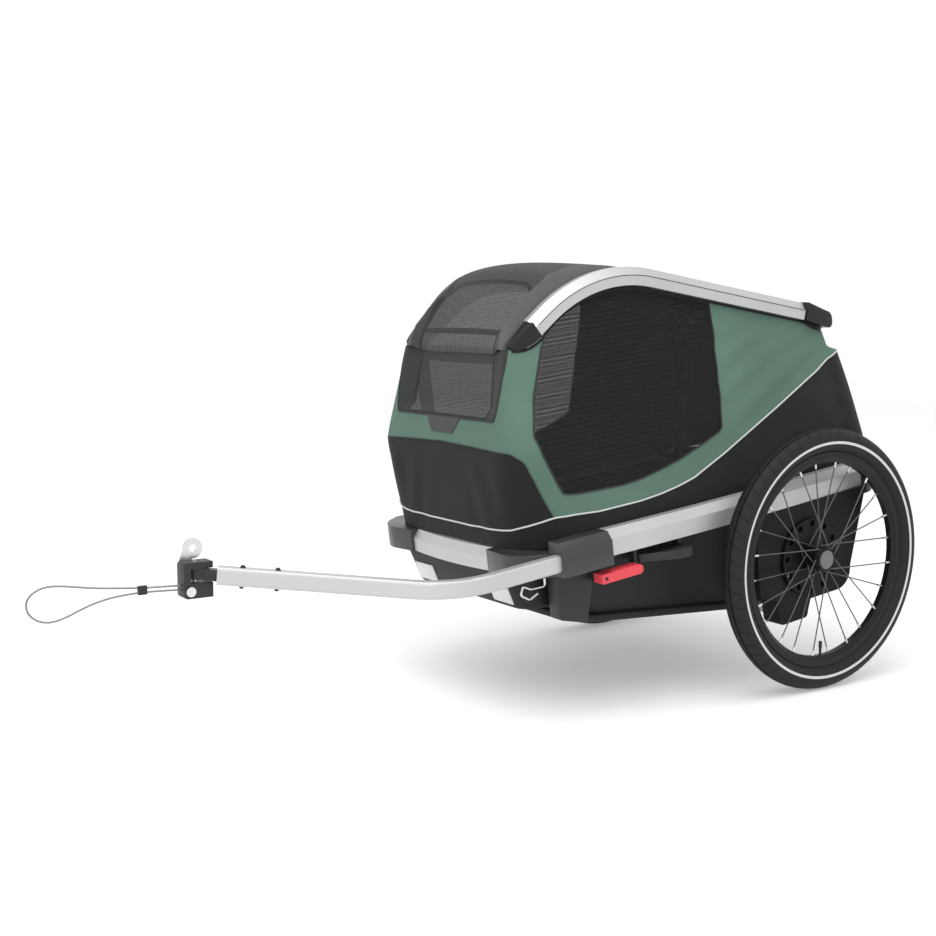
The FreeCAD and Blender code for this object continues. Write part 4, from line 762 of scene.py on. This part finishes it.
def halve(piece, lowerName, upperName):
    # splits a piece at the fold line; the part above it rides the roof
    upper = copyPiece(piece, upperName)
    piece.name = piece.data.name = lowerName
    for part, below in ((piece, True), (upper, False)):
        editAll(part, (bpy.ops.mesh.bisect, {
            "plane_co": foldPoint, "plane_no": upFloor, "use_fill": False,
            "clear_outer": below, "clear_inner": not below}))
    return piece, upper


def lineCloth(piece):
    applyModifier(piece, "SOLIDIFY", thickness=wallSet["cloth"], offset=-1.0, material_offset=1,
                  material_offset_rim=0)
    smoothEdges(piece, 50)


def squashLower(piece):
    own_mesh(piece)


def makeWalls(spec):
    reach = wallRun[-1]
    rows = int(spec["tall"] / spec["cell"])
    columns = int(2 * reach / spec["cell"])

    def shape(a, b):
        return onBase(*wallPlace((a * 2 - 1) * reach, b))

    walls, a, b = gridSheet("cabinWalls", columns, rows, shape)
    h = (a * 2 - 1) * reach
    w = wallPlace(h, b)[2]
    markCloth(walls, h, w)
    editAll(walls, (bpy.ops.mesh.remove_doubles, {"threshold": 0.0002}))
    faceOut(walls, lambda middle: Vector((0, middle.y, 0)))
    lower, upper = halve(walls, "cabinWalls", "roofWalls")
    for part in (lower, upper):
        dress(part, cabinCloth, cabinLining)
        lineCloth(part)
    finishPiece(lower, "chassis", ["cabin_cover", "cabin_mesh"])
    finishPiece(upper, "roof")
    squashLower(lower)
    return lower, upper


wallsLower, wallsUpper = makeWalls(wallSet)
print("cabin walls:", len(wallsLower.data.polygons), len(wallsUpper.data.polygons), "faces")

# roof strip between the arches: a sleeve stands up beside each arch, highest at the front
roofSet = {
    "front": [(586.0, 350.0), (577.0, 359.0), (552.0, 368.0)],
    "rear": [(-130.0, 318.0), (-155.0, 308.0), (-172.0, 292.0)],
    "sleeve": [(-172, 0), (0, 10), (200, 10), (300, 14), (350, 23), (400, 34), (450, 39), (490, 39),
               (524, 36), (560, 23), (586, 0)],
    "crown": [(-172, 0), (0, 5), (200, 3), (350, 5), (400, 11), (440, 17), (490, 13), (524, 8), (560, 3),
              (586, 0)],
    "clear": 15.5, "noseHalf": (155.0, 160.0), "nose": 14.0, "lip": 32.0, "edge": 12.0, "edgeRise": 50.0,
    "cell": 4.5, "slopeStep": 14.0, "sleeveWide": 12.0, "sleeveFrom": 0.74, "bend": (59, 106, 3),
    "points": 240,
}
netSet = {
    "cross": 27.0, "from": 37.0, "to": 137.0, "half": (118.0, 139.0), "corners": (5.0, 40.0), "dish": 13.0,
    "dishEnd": (22.0, -8.0),
}


def roofLine(spec):
    points = list(spec["front"]) + [archSet["front"], archSet["bendFrom"]]
    for degrees in range(*spec["bend"]):
        a = math.radians(degrees)
        points.append((archSet["centre"][0] + archSet["radius"] * math.cos(a),
                       archSet["centre"][1] + archSet["radius"] * math.sin(a)))
    points += [archSet["bendTo"], archSet["rear"]] + spec["rear"]
    points = np.array(points)
    run = np.concatenate([[0], np.cumsum(np.hypot(*np.diff(points, axis=0).T))])
    fine = np.linspace(0, run[-1], spec["points"])
    return fine, np.interp(fine, run, points[:, 0]), np.interp(fine, run, points[:, 1])


def makeRoof(spec):
    run, lineU, lineW = roofLine(spec)
    reach = run[-1]
    noseFrom, noseTo = archSet["front"][0] - spec["nose"], spec["front"][0][0]
    net, step = netSet, spec["slopeStep"]

    def halfAt(u):
        nose = np.interp(u, (noseFrom, noseTo), spec["noseHalf"])
        return np.where(u > noseFrom, nose, archSide(u) - spec["clear"])

    def netHalf(s):
        return np.interp(s, (0, net["to"]), net["half"])

    def shape(a, b):
        s = b * reach
        u, w = np.interp(s, run, lineU), np.interp(s, run, lineW)
        du, dw = (np.interp(s + step, run, line) - np.interp(s - step, run, line) for line in (lineU, lineW))
        size = np.hypot(du, dw)
        half = halfAt(u)
        across = (a * 2 - 1) * (half + spec["lip"])
        v = np.clip(across, -half, half)
        drop = np.maximum(np.abs(across) - half, 0)
        rim = half - spec["sleeveWide"]
        inner = smoothStep(ramp(np.abs(v), half, rim))
        sleeve = np.interp(u, *zip(*spec["sleeve"]))
        crown = np.interp(u, *zip(*spec["crown"])) * (1 - (v / half) ** 2)
        lift = spec["edge"] * ramp(s, 0.0, spec["edgeRise"]) * (1 - inner) + sleeve * inner + crown - drop
        back = smoothStep(ramp(np.abs(v), rim, netHalf(s)))
        lift = lift - net["dish"] * back * ramp(s, *(net["to"] + part for part in net["dishEnd"]))
        return onBase(u + lift * dw / size, v, w - lift * du / size)

    wide = 2 * (archSet["side"] + spec["lip"])
    roof, a, b = gridSheet("roofCloth", int(wide / spec["cell"]), int(reach / spec["cell"]), shape)
    s = b * reach
    u = np.interp(s, run, lineU)
    v = (a * 2 - 1) * (halfAt(u) + spec["lip"])
    middle, halfRun = (net["from"] + net["to"]) / 2, (net["to"] - net["from"]) / 2
    corner = np.where(s > middle, net["corners"][1], net["corners"][0])
    dx = np.abs(v) - netHalf(s) + corner
    dy = np.abs(s - middle) - halfRun + corner
    inside = corner - np.hypot(np.maximum(dx, 0), np.maximum(dy, 0)) - np.minimum(np.maximum(dx, dy), 0)
    lower = np.minimum(net["cross"] - s, netHalf(s) - np.abs(v))
    markCloth(roof, v, s, strip=(np.maximum(inside, lower), np.ones(len(v))))
    faceOut(roof, lambda middle: Vector((0, 0, 1)))
    dress(roof, cabinCloth, cabinLining, finish["sleeveCloth"])
    onSleeve = np.abs(a * 2 - 1) > spec["sleeveFrom"]
    for face in roof.data.polygons:
        if all(onSleeve[index] for index in face.vertices):
            face.material_index = 2
    lineCloth(roof)
    finishPiece(roof, "roof", ["roof_cover", "roof_mesh"])
    return roof


roofCloth = makeRoof(roofSet)
print("roof cloth:", len(roofCloth.data.polygons), "faces")


# piping and bindings: round beads sewn on the wall, sizes in millimetres
def tubeMesh(name, lines, radius, material):
    pickOnly(tubeCurve(name, "POLY", lines, radius / 1000.0, 2))
    bpy.ops.object.convert(target="MESH")
    dress(bpy.context.object, material)
    return bpy.context.object


beadSet = {"pace": 8.0, "probe": 2.0, "below": 1.0}


def bead(name, runs, radius, material, out):
    lines, probe = [], beadSet["probe"]
    for line in runs:
        h, w = np.array(line, float).T
        pace = np.concatenate([[0], np.cumsum(np.hypot(np.diff(h), np.diff(w)))])
        fine = np.linspace(0, pace[-1], max(2, int(pace[-1] / beadSet["pace"])))
        h, w = np.interp(fine, pace, h), np.interp(fine, pace, w)
        w = np.minimum(w, wallTop(h) - beadSet["below"])
        ahead = onBase(*wallPoint(h + probe, w)) - onBase(*wallPoint(h - probe, w))
        above = onBase(*wallPoint(h, w + probe)) - onBase(*wallPoint(h, w - probe))
        normal = np.cross(ahead, above)
        normal /= np.linalg.norm(normal, axis=1)[:, None]
        lines.append(onBase(*wallPoint(h, w)) + normal * out / 1000.0)
    piece = tubeMesh(name, lines, radius, material)
    smoothEdges(piece, 60)
    return piece


# groove along the outside of each arch, drawn as a thin dark grey bead that is painted shade
grooveShadeSet = {"from": -96.0, "to": 518.0, "points": 90, "rise": 1.5, "out": 13.0, "radius": 0.8}


def makeGrooveShade(spec):
    u = np.linspace(spec["from"], spec["to"], spec["points"])
    slope = np.gradient(archMiddle(u), u)
    size = np.hypot(1, slope)
    lines = [
        onBase(u - spec["rise"] * slope / size, side * (archSide(u) + spec["out"]),
               archMiddle(u) + spec["rise"] / size)
        for side in (-1, 1)
    ]
    # the dark bead stands for the shade in the arch's groove, not for a part
    finishPiece(tubeMesh("archGroove", lines, spec["radius"], finish["linkGrey"]), "roof")


makeGrooveShade(grooveShadeSet)


# each bead's radius and how far its middle stands out of the cloth
trimSet = {
    "whitePiping": (1.7, 0.6), "frontSeam": (0.9, 0.2), "windowBinding": (1.5, 0.4), "netBinding": (1.4, 0.3),
}


def mirrored(line):
    return [(-h, w) for h, w in line]


def makeTrim(spec):
    def sew(name, runs, material=finish["bindingDark"]):
        return bead(name, runs, spec[name][0], material, spec[name][1])

    for name, line, material in (("whitePiping", seamSet["piping"], finish["pipingWhite"]),
                                 ("frontSeam", seamSet["darkTop"], finish["bindingDark"])):
        piece = sew(name, [mirrored(reversed(line)) + line[1:]], material)
        finishPiece(piece, "chassis")
        squashLower(piece)
    hem, border = seamSet["window"][:26], seamSet["frontFrame"]
    hem = sew("windowBinding", [hem, mirrored(hem)])
    rim = sew("netBinding", [border[-2:] + border[:4]])
    for piece, upperName in ((hem, "windowBindingRoof"), (rim, "netBindingRoof")):
        lower, upper = halve(piece, piece.name, upperName)
        finishPiece(lower, "chassis")
        squashLower(lower)
        finishPiece(upper, "roof")


makeTrim(trimSet)

# bare cloth tab under the front net
tabSet = {
    "low": 200.0, "high": 229.0, "topHalf": 60.0, "lowHalf": 36.0, "out": 1.6, "thick": 0.0012,
    "edge": 0.0005,
}


def makeTab(spec):
    def shape(a, b):
        half = spec["lowHalf"] + (spec["topHalf"] - spec["lowHalf"]) * b
        u, v, w = wallPoint((a * 2 - 1) * half, spec["low"] + (spec["high"] - spec["low"]) * b)
        return onBase(u + spec["out"], v, w)

    tab = gridSheet("frontTab", 14, 8, shape)[0]
    faceOut(tab, lambda middle: Vector((1, 0, 0)))
    dress(tab, finish["tabDark"])
    applyModifier(tab, "SOLIDIFY", thickness=spec["thick"], offset=-1.0)
    roundEdges(tab, spec["edge"], segments=2)
    smoothEdges(tab)
    finishPiece(tab, "chassis")
    squashLower(tab)


makeTab(tabSet)
print("piping, bindings and tab sewn on")

# floor pad: crowned, with sewn channels across it
padSet = {
    "channels": 6, "groove": 0.003, "grooveWide": 0.06, "pull": 0.005, "crown": 0.003, "thick": 0.018,
    "thin": 0.35, "corner": 0.5, "cuts": 46,
}


def makePad(spec):
    span = getPlaces(nodes["floor_pad"])
    low, high = span.min(0), span.max(0)
    slope = (high[2] - low[2] - spec["thick"]) / (high[0] - low[0])
    pad = addPrimitive("floorPad", bpy.ops.mesh.primitive_cube_add, size=2.0, location=(0, 0, 0))
    editAll(pad, (bpy.ops.mesh.subdivide, {"number_cuts": spec["cuts"]}))
    a, b, c = getPlaces(pad).T
    rim = np.maximum(np.abs(a), np.abs(b))
    plump = spec["thin"] + (1 - spec["thin"]) * (1 - np.clip(rim, 0, 1) ** 10) ** 0.5
    # square to rounded corners, edges pulled in a little between them
    rounded = np.sqrt(1 - 0.5 * np.minimum(np.abs(a), np.abs(b)) ** 8 * spec["corner"])
    x = (low[0] + high[0]) / 2 + a * rounded * ((high[0] - low[0]) / 2 - spec["pull"] * (1 - b ** 4))
    y = b * rounded * ((high[1] - low[1]) / 2 - spec["pull"] * (1 - a ** 4))
    groove = np.exp(-((((a + 1) / 2 * spec["channels"]) % 1.0 - 0.5) / spec["grooveWide"]) ** 2)
    top = spec["thick"] * plump - spec["crown"] * (a ** 2 + b ** 2) / 2 - spec["groove"] * groove
    level = np.where(c > 0.99, top, np.where(c < -0.99, 0.0, (c + 1) / 2 * spec["thick"] * plump))
    z = low[2] + (x - low[0]) * slope + level
    setPlaces(pad, np.stack([x, y, z], -1))
    dress(pad, padCloth)
    smoothEdges(pad, 60)
    finishPiece(pad, bodyOf["floor_pad"], ["floor_pad"])


makePad(padSet)
print("floor pad made")

# hard pieces on the tub: blocks drawn on the tilted floor's axes in millimetres, then laid on it
floorTurn = Matrix.Translation(onBase(0.0, 0.0, 0.0).tolist()) @ Matrix.Rotation(base["tilt"], 4, "Y")


def block(name, low, high):
    low, high = Vector(low) / 1000.0, Vector(high) / 1000.0
    piece = addPrimitive(name, bpy.ops.mesh.primitive_cube_add, size=1.0, location=(low + high) / 2,
                         scale=high - low)
    bpy.ops.object.transform_apply(location=True, rotation=True, scale=True)
    return piece


def sideBlock(name, corners, side):
    low, high = corners
    near, far = sorted((low[1] * side, high[1] * side))
    return block(name, (low[0], near, low[2]), (high[0], far, high[2]))


def editWhere(piece, test, *steps, edges=False):
    pickOnly(piece)
    bpy.ops.object.mode_set(mode="EDIT")
    bpy.ops.mesh.select_mode(type="EDGE" if edges else "VERT")
    bpy.ops.mesh.select_all(action="DESELECT")
    bpy.ops.object.mode_set(mode="OBJECT")
    places = [vertex.co * 1000.0 for vertex in piece.data.vertices]
    if edges:
        for edge in piece.data.edges:
            edge.select = all(test(*places[index]) for index in edge.vertices)
    else:
        for vertex, place in zip(piece.data.vertices, places):
            vertex.select = test(*place)
    bpy.ops.object.mode_set(mode="EDIT")
    for step, settings in steps:
        step(**settings)
    bpy.ops.object.mode_set(mode="OBJECT")


def layOnFloor(piece):
    pickOnly(piece)
    piece.matrix_world = floorTurn @ piece.matrix_world
    bpy.ops.object.transform_apply(location=True, rotation=True, scale=True)


def finishHard(piece, material, replaced=()):
    layOnFloor(piece)
    dress(piece, material)
    smoothEdges(piece)
    finishPiece(piece, "chassis", replaced)


def move(u, v=0.0, w=0.0):
    return bpy.ops.transform.translate, {"value": (u, v, w)}


def roundCorners(piece, spec):
    # rounds the two upright edges at the front
    settings = {"offset": spec["corner"], "segments": 8, "affect": "EDGES"}
    for side in (-1, 1):
        editWhere(piece, lambda u, v, w: u > spec["high"][0] - 1 and v * side > 0,
                  (bpy.ops.mesh.bevel, settings), edges=True)


noseSet = {
    "low": (500, -197, -114), "high": (630, 197, -42), "corner": 0.042, "edge": 0.006, "back": 0.022,
    "taper": 0.97,
}


def makeNose(spec):
    nose = block("nosePanel", spec["low"], spec["high"])
    roundCorners(nose, spec)
    editWhere(nose, lambda u, v, w: w < spec["low"][2] + 1, move(-spec["back"]),
              (bpy.ops.transform.resize, {"value": (1, spec["taper"], 1)}))
    roundEdges(nose, spec["edge"], 40)
    finishHard(nose, finish["tubPlastic"])


traySet = {
    "low": (118, -239, -12), "high": (552, 239, 2), "corner": 0.05, "edge": 0.004, "drop": 0.226,
    "slope": 10.0,
}


def makeTray(spec):
    tray = block("underTray", spec["low"], spec["high"])
    roundCorners(tray, spec)
    roundEdges(tray, spec["edge"], 40)
    slope = Matrix.Rotation(-math.radians(spec["slope"]), 4, "Y")
    tray.matrix_world = Matrix.Translation((0, 0, -spec["drop"])) @ slope
    finishHard(tray, finish["tubPlastic"])


# reflectors: plates on the nose, each with a boss back to the CAD node's place
reflectorSet = {
    "plate": ((618.6, 95, -105), (624.6, 155, -69)), "back": 0.011, "edge": 0.002,
    "boss": ((569, 76, -72), (612, 116, -48)),
}


def makeReflectors(spec):
    parts = []
    for side in (1, -1):
        plate = sideBlock("frontReflectors", spec["plate"], side)
        editWhere(plate, lambda u, v, w: w < spec["plate"][0][2] + 1, move(-spec["back"]))
        roundEdges(plate, spec["edge"])
        parts += [plate, sideBlock("reflectorBoss", spec["boss"], side)]
    pickOnly(parts[0])
    for part in parts[1:]:
        part.select_set(True)
    bpy.ops.object.join()
    finishHard(bpy.context.object, finish["reflectorWhite"], ["front_reflectors"])


legSet = {
    "corners": ((497, 222, -144), (574, 257, -37)), "edge": 0.005, "toe": 0.015, "foot": 0.62,
    "forward": 0.010, "inward": 0.006, "lift": 0.014,
}


def makeLegs(spec):
    low, high = spec["corners"]
    for side, name in ((1, "cornerLegLeft"), (-1, "cornerLegRight")):
        leg = sideBlock(name, spec["corners"], side)
        editWhere(leg, lambda u, v, w: u > high[0] - 1, move(0, -spec["toe"] * side))
        editWhere(leg, lambda u, v, w: w < low[2] + 1,
                  (bpy.ops.transform.resize, {"value": (spec["foot"], 1, 1)}),
                  move(spec["forward"], -spec["inward"] * side))
        editWhere(leg, lambda u, v, w: w < low[2] + 1 and u > (low[0] + high[0]) / 2,
                  move(0, 0, spec["lift"]))
        roundEdges(leg, spec["edge"])
        finishHard(leg, finish["mouldedPlastic"])


makeNose(noseSet)
makeTray(traySet)
makeReflectors(reflectorSet)
makeLegs(legSet)
print("nose, tray, reflectors and corner legs made")

# mouldings: merged copies of the CAD shapes with their edges rounded
softSet = {
    "front_corner": ("cornerPlastic", 2.2), "rear_corner": ("mouldedPlastic", 2.2),
    "arch_ends": ("capPlastic", 2.4), "coupling_head": ("mouldedPlastic", 1.2),
    "drawbar_tongue": ("mouldedPlastic", 1.2), "drawbar_release": ("leverRed", 2.0),
    "brake_pedal": ("mouldedPlastic", 1.4), "leash_slider": ("boltBlack", 0.5),
    "wheel_housing": ("hubBlack", 1.2),
}
# the right front corner takes no drawbar, so its rail socket is shorter
cutSet = {"front_corner_right": [((532, -310, -60), (620, -261.2, 40)), ((532, -310, 0.5), (620, -250, 40))]}


def soften(node, material, width):
    words = node.split("_")
    twin = copyPiece(nodes[node], words[0] + "".join(word.capitalize() for word in words[1:]))
    twin.parent = None
    for key in list(twin.keys()):
        del twin[key]
    editAll(
        twin,
        (bpy.ops.mesh.remove_doubles, {"threshold": 0.00002}),
        (bpy.ops.mesh.dissolve_limited, {"angle_limit": math.radians(0.6)}),
    )
    for low, high in cutSet.get(node, []):
        cutter = block("cutter", low, high)
        layOnFloor(cutter)
        applyModifier(twin, "BOOLEAN", operation="DIFFERENCE", object=cutter, solver="EXACT")
        bpy.data.objects.remove(cutter, do_unlink=True)
    roundEdges(twin, width / 1000.0, 38)
    editAll(twin, (bpy.ops.mesh.dissolve_degenerate, {"threshold": 0.00001}))
    dress(twin, finish[material])
    smoothEdges(twin, 40)
    finishPiece(twin, bodyOf[node], [node])


def stemOf(node):
    return node.removesuffix("_left").removesuffix("_right")


for stem, (material, width) in softSet.items():
    for node in list(nodes):
        if stemOf(node) == stem:
            soften(node, material, width)
print("mouldings softened")

# finishes of the CAD nodes that stay as they are
finishOf = {
    "tyreRubber": ["tyre"], "tubeRubber": ["inner_tube"], "blackRim": ["rim"], "spokeSteel": ["spokes"],
    "hubBlack": ["hub", "brake_ring"], "buttonGrey": ["hub_button"], "tubPlastic": ["tub"],
    "boltBlack": ["drawbar_bolts"], "mouldedPlastic": ["lever_brackets", "fold_brackets"],
    "brightSteel": ["hub_bearings", "axles", "brake_pin", "retaining_clip", "hitch_pins", "axle_plate"],
    "satinAlloy": ["side_rail", "front_rail", "rear_rail", "arch", "axle_beam", "drawbar"],
    "linkGrey": ["front_lower_links", "rear_lower_links", "front_upper_links", "rear_upper_links",
                 "front_cross_bar", "rear_cross_bar"],
}


def finishNodes():
    finishFor = {stem: finish[name] for name, stems in finishOf.items() for stem in stems}
    for node, piece in nodes.items():
        material = finishFor.get(stemOf(node))
        if material is not None and not piece.hide_render:
            dress(piece, material)


finishNodes()
print("CAD nodes finished")

# floor, light and white surround
stageSet = {
    "size": 14.0, "drop": 0.0005, "glow": 0.26, "floor": 1.0, "bounce": 0.80, "sky": 0.72,
    "aim": (-0.3, 0.0, 0.3),
}
# each light's place, power and size
lightSet = {"keyLight": ((0.7, 0.9, 2.9), 42.0, 2.6), "fillLight": ((1.9, 2.4, 1.4), 10.0, 2.0)}


def surroundMask(tree):
    rays = addNode(tree, "LightPath").outputs
    seen = mathNode(tree, "MAXIMUM", rays["Is Camera Ray"], rays["Is Glossy Ray"])
    return mathNode(tree, "MAXIMUM", seen, rays["Is Transmission Ray"])


def makeStage(spec, lights):
    floor = addPrimitive("studioFloor", bpy.ops.mesh.primitive_plane_add, size=spec["size"],
                         location=(0, 0, -spec["drop"]))
    material, tree, shader = newMaterial("studioFloor")
    tree.nodes.remove(shader)
    plain, shown = (addNode(tree, "BsdfDiffuse", {"Color": (spec[label],) * 3 + (1.0,)}).outputs[0]
                    for label in ("bounce", "floor"))
    glow = addNode(tree, "Emission", {"Strength": spec["glow"]}).outputs[0]
    both = addNode(tree, "AddShader", {0: shown, 1: glow}).outputs[0]
    choice = addNode(tree, "MixShader", {0: surroundMask(tree), 1: plain, 2: both}).outputs[0]
    feed(tree, tree.nodes["Material Output"], {"Surface": choice})
    dress(floor, material)
    world = bpy.context.scene.world or bpy.data.worlds.new("studio")
    bpy.context.scene.world = world
    world.use_nodes = True
    tree = world.node_tree
    level = mathNode(tree, "MULTIPLY_ADD", surroundMask(tree), 1.0 - spec["sky"], spec["sky"])
    feed(tree, tree.nodes["Background"], {"Color": (1.0, 1.0, 1.0, 1.0), "Strength": level})
    for name, (place, energy, size) in lights.items():
        lamp = bpy.data.lights.new(name, "AREA")
        lamp.energy, lamp.size = energy, size
        light = addObject(name, lamp)
        light.location = place
        light.rotation_mode = "QUATERNION"
        light.rotation_quaternion = (Vector(spec["aim"]) - Vector(place)).to_track_quat("-Z", "Y")


makeStage(stageSet, lightSet)
bpy.context.scene.view_settings.view_transform = "Standard"
print("stage lit")
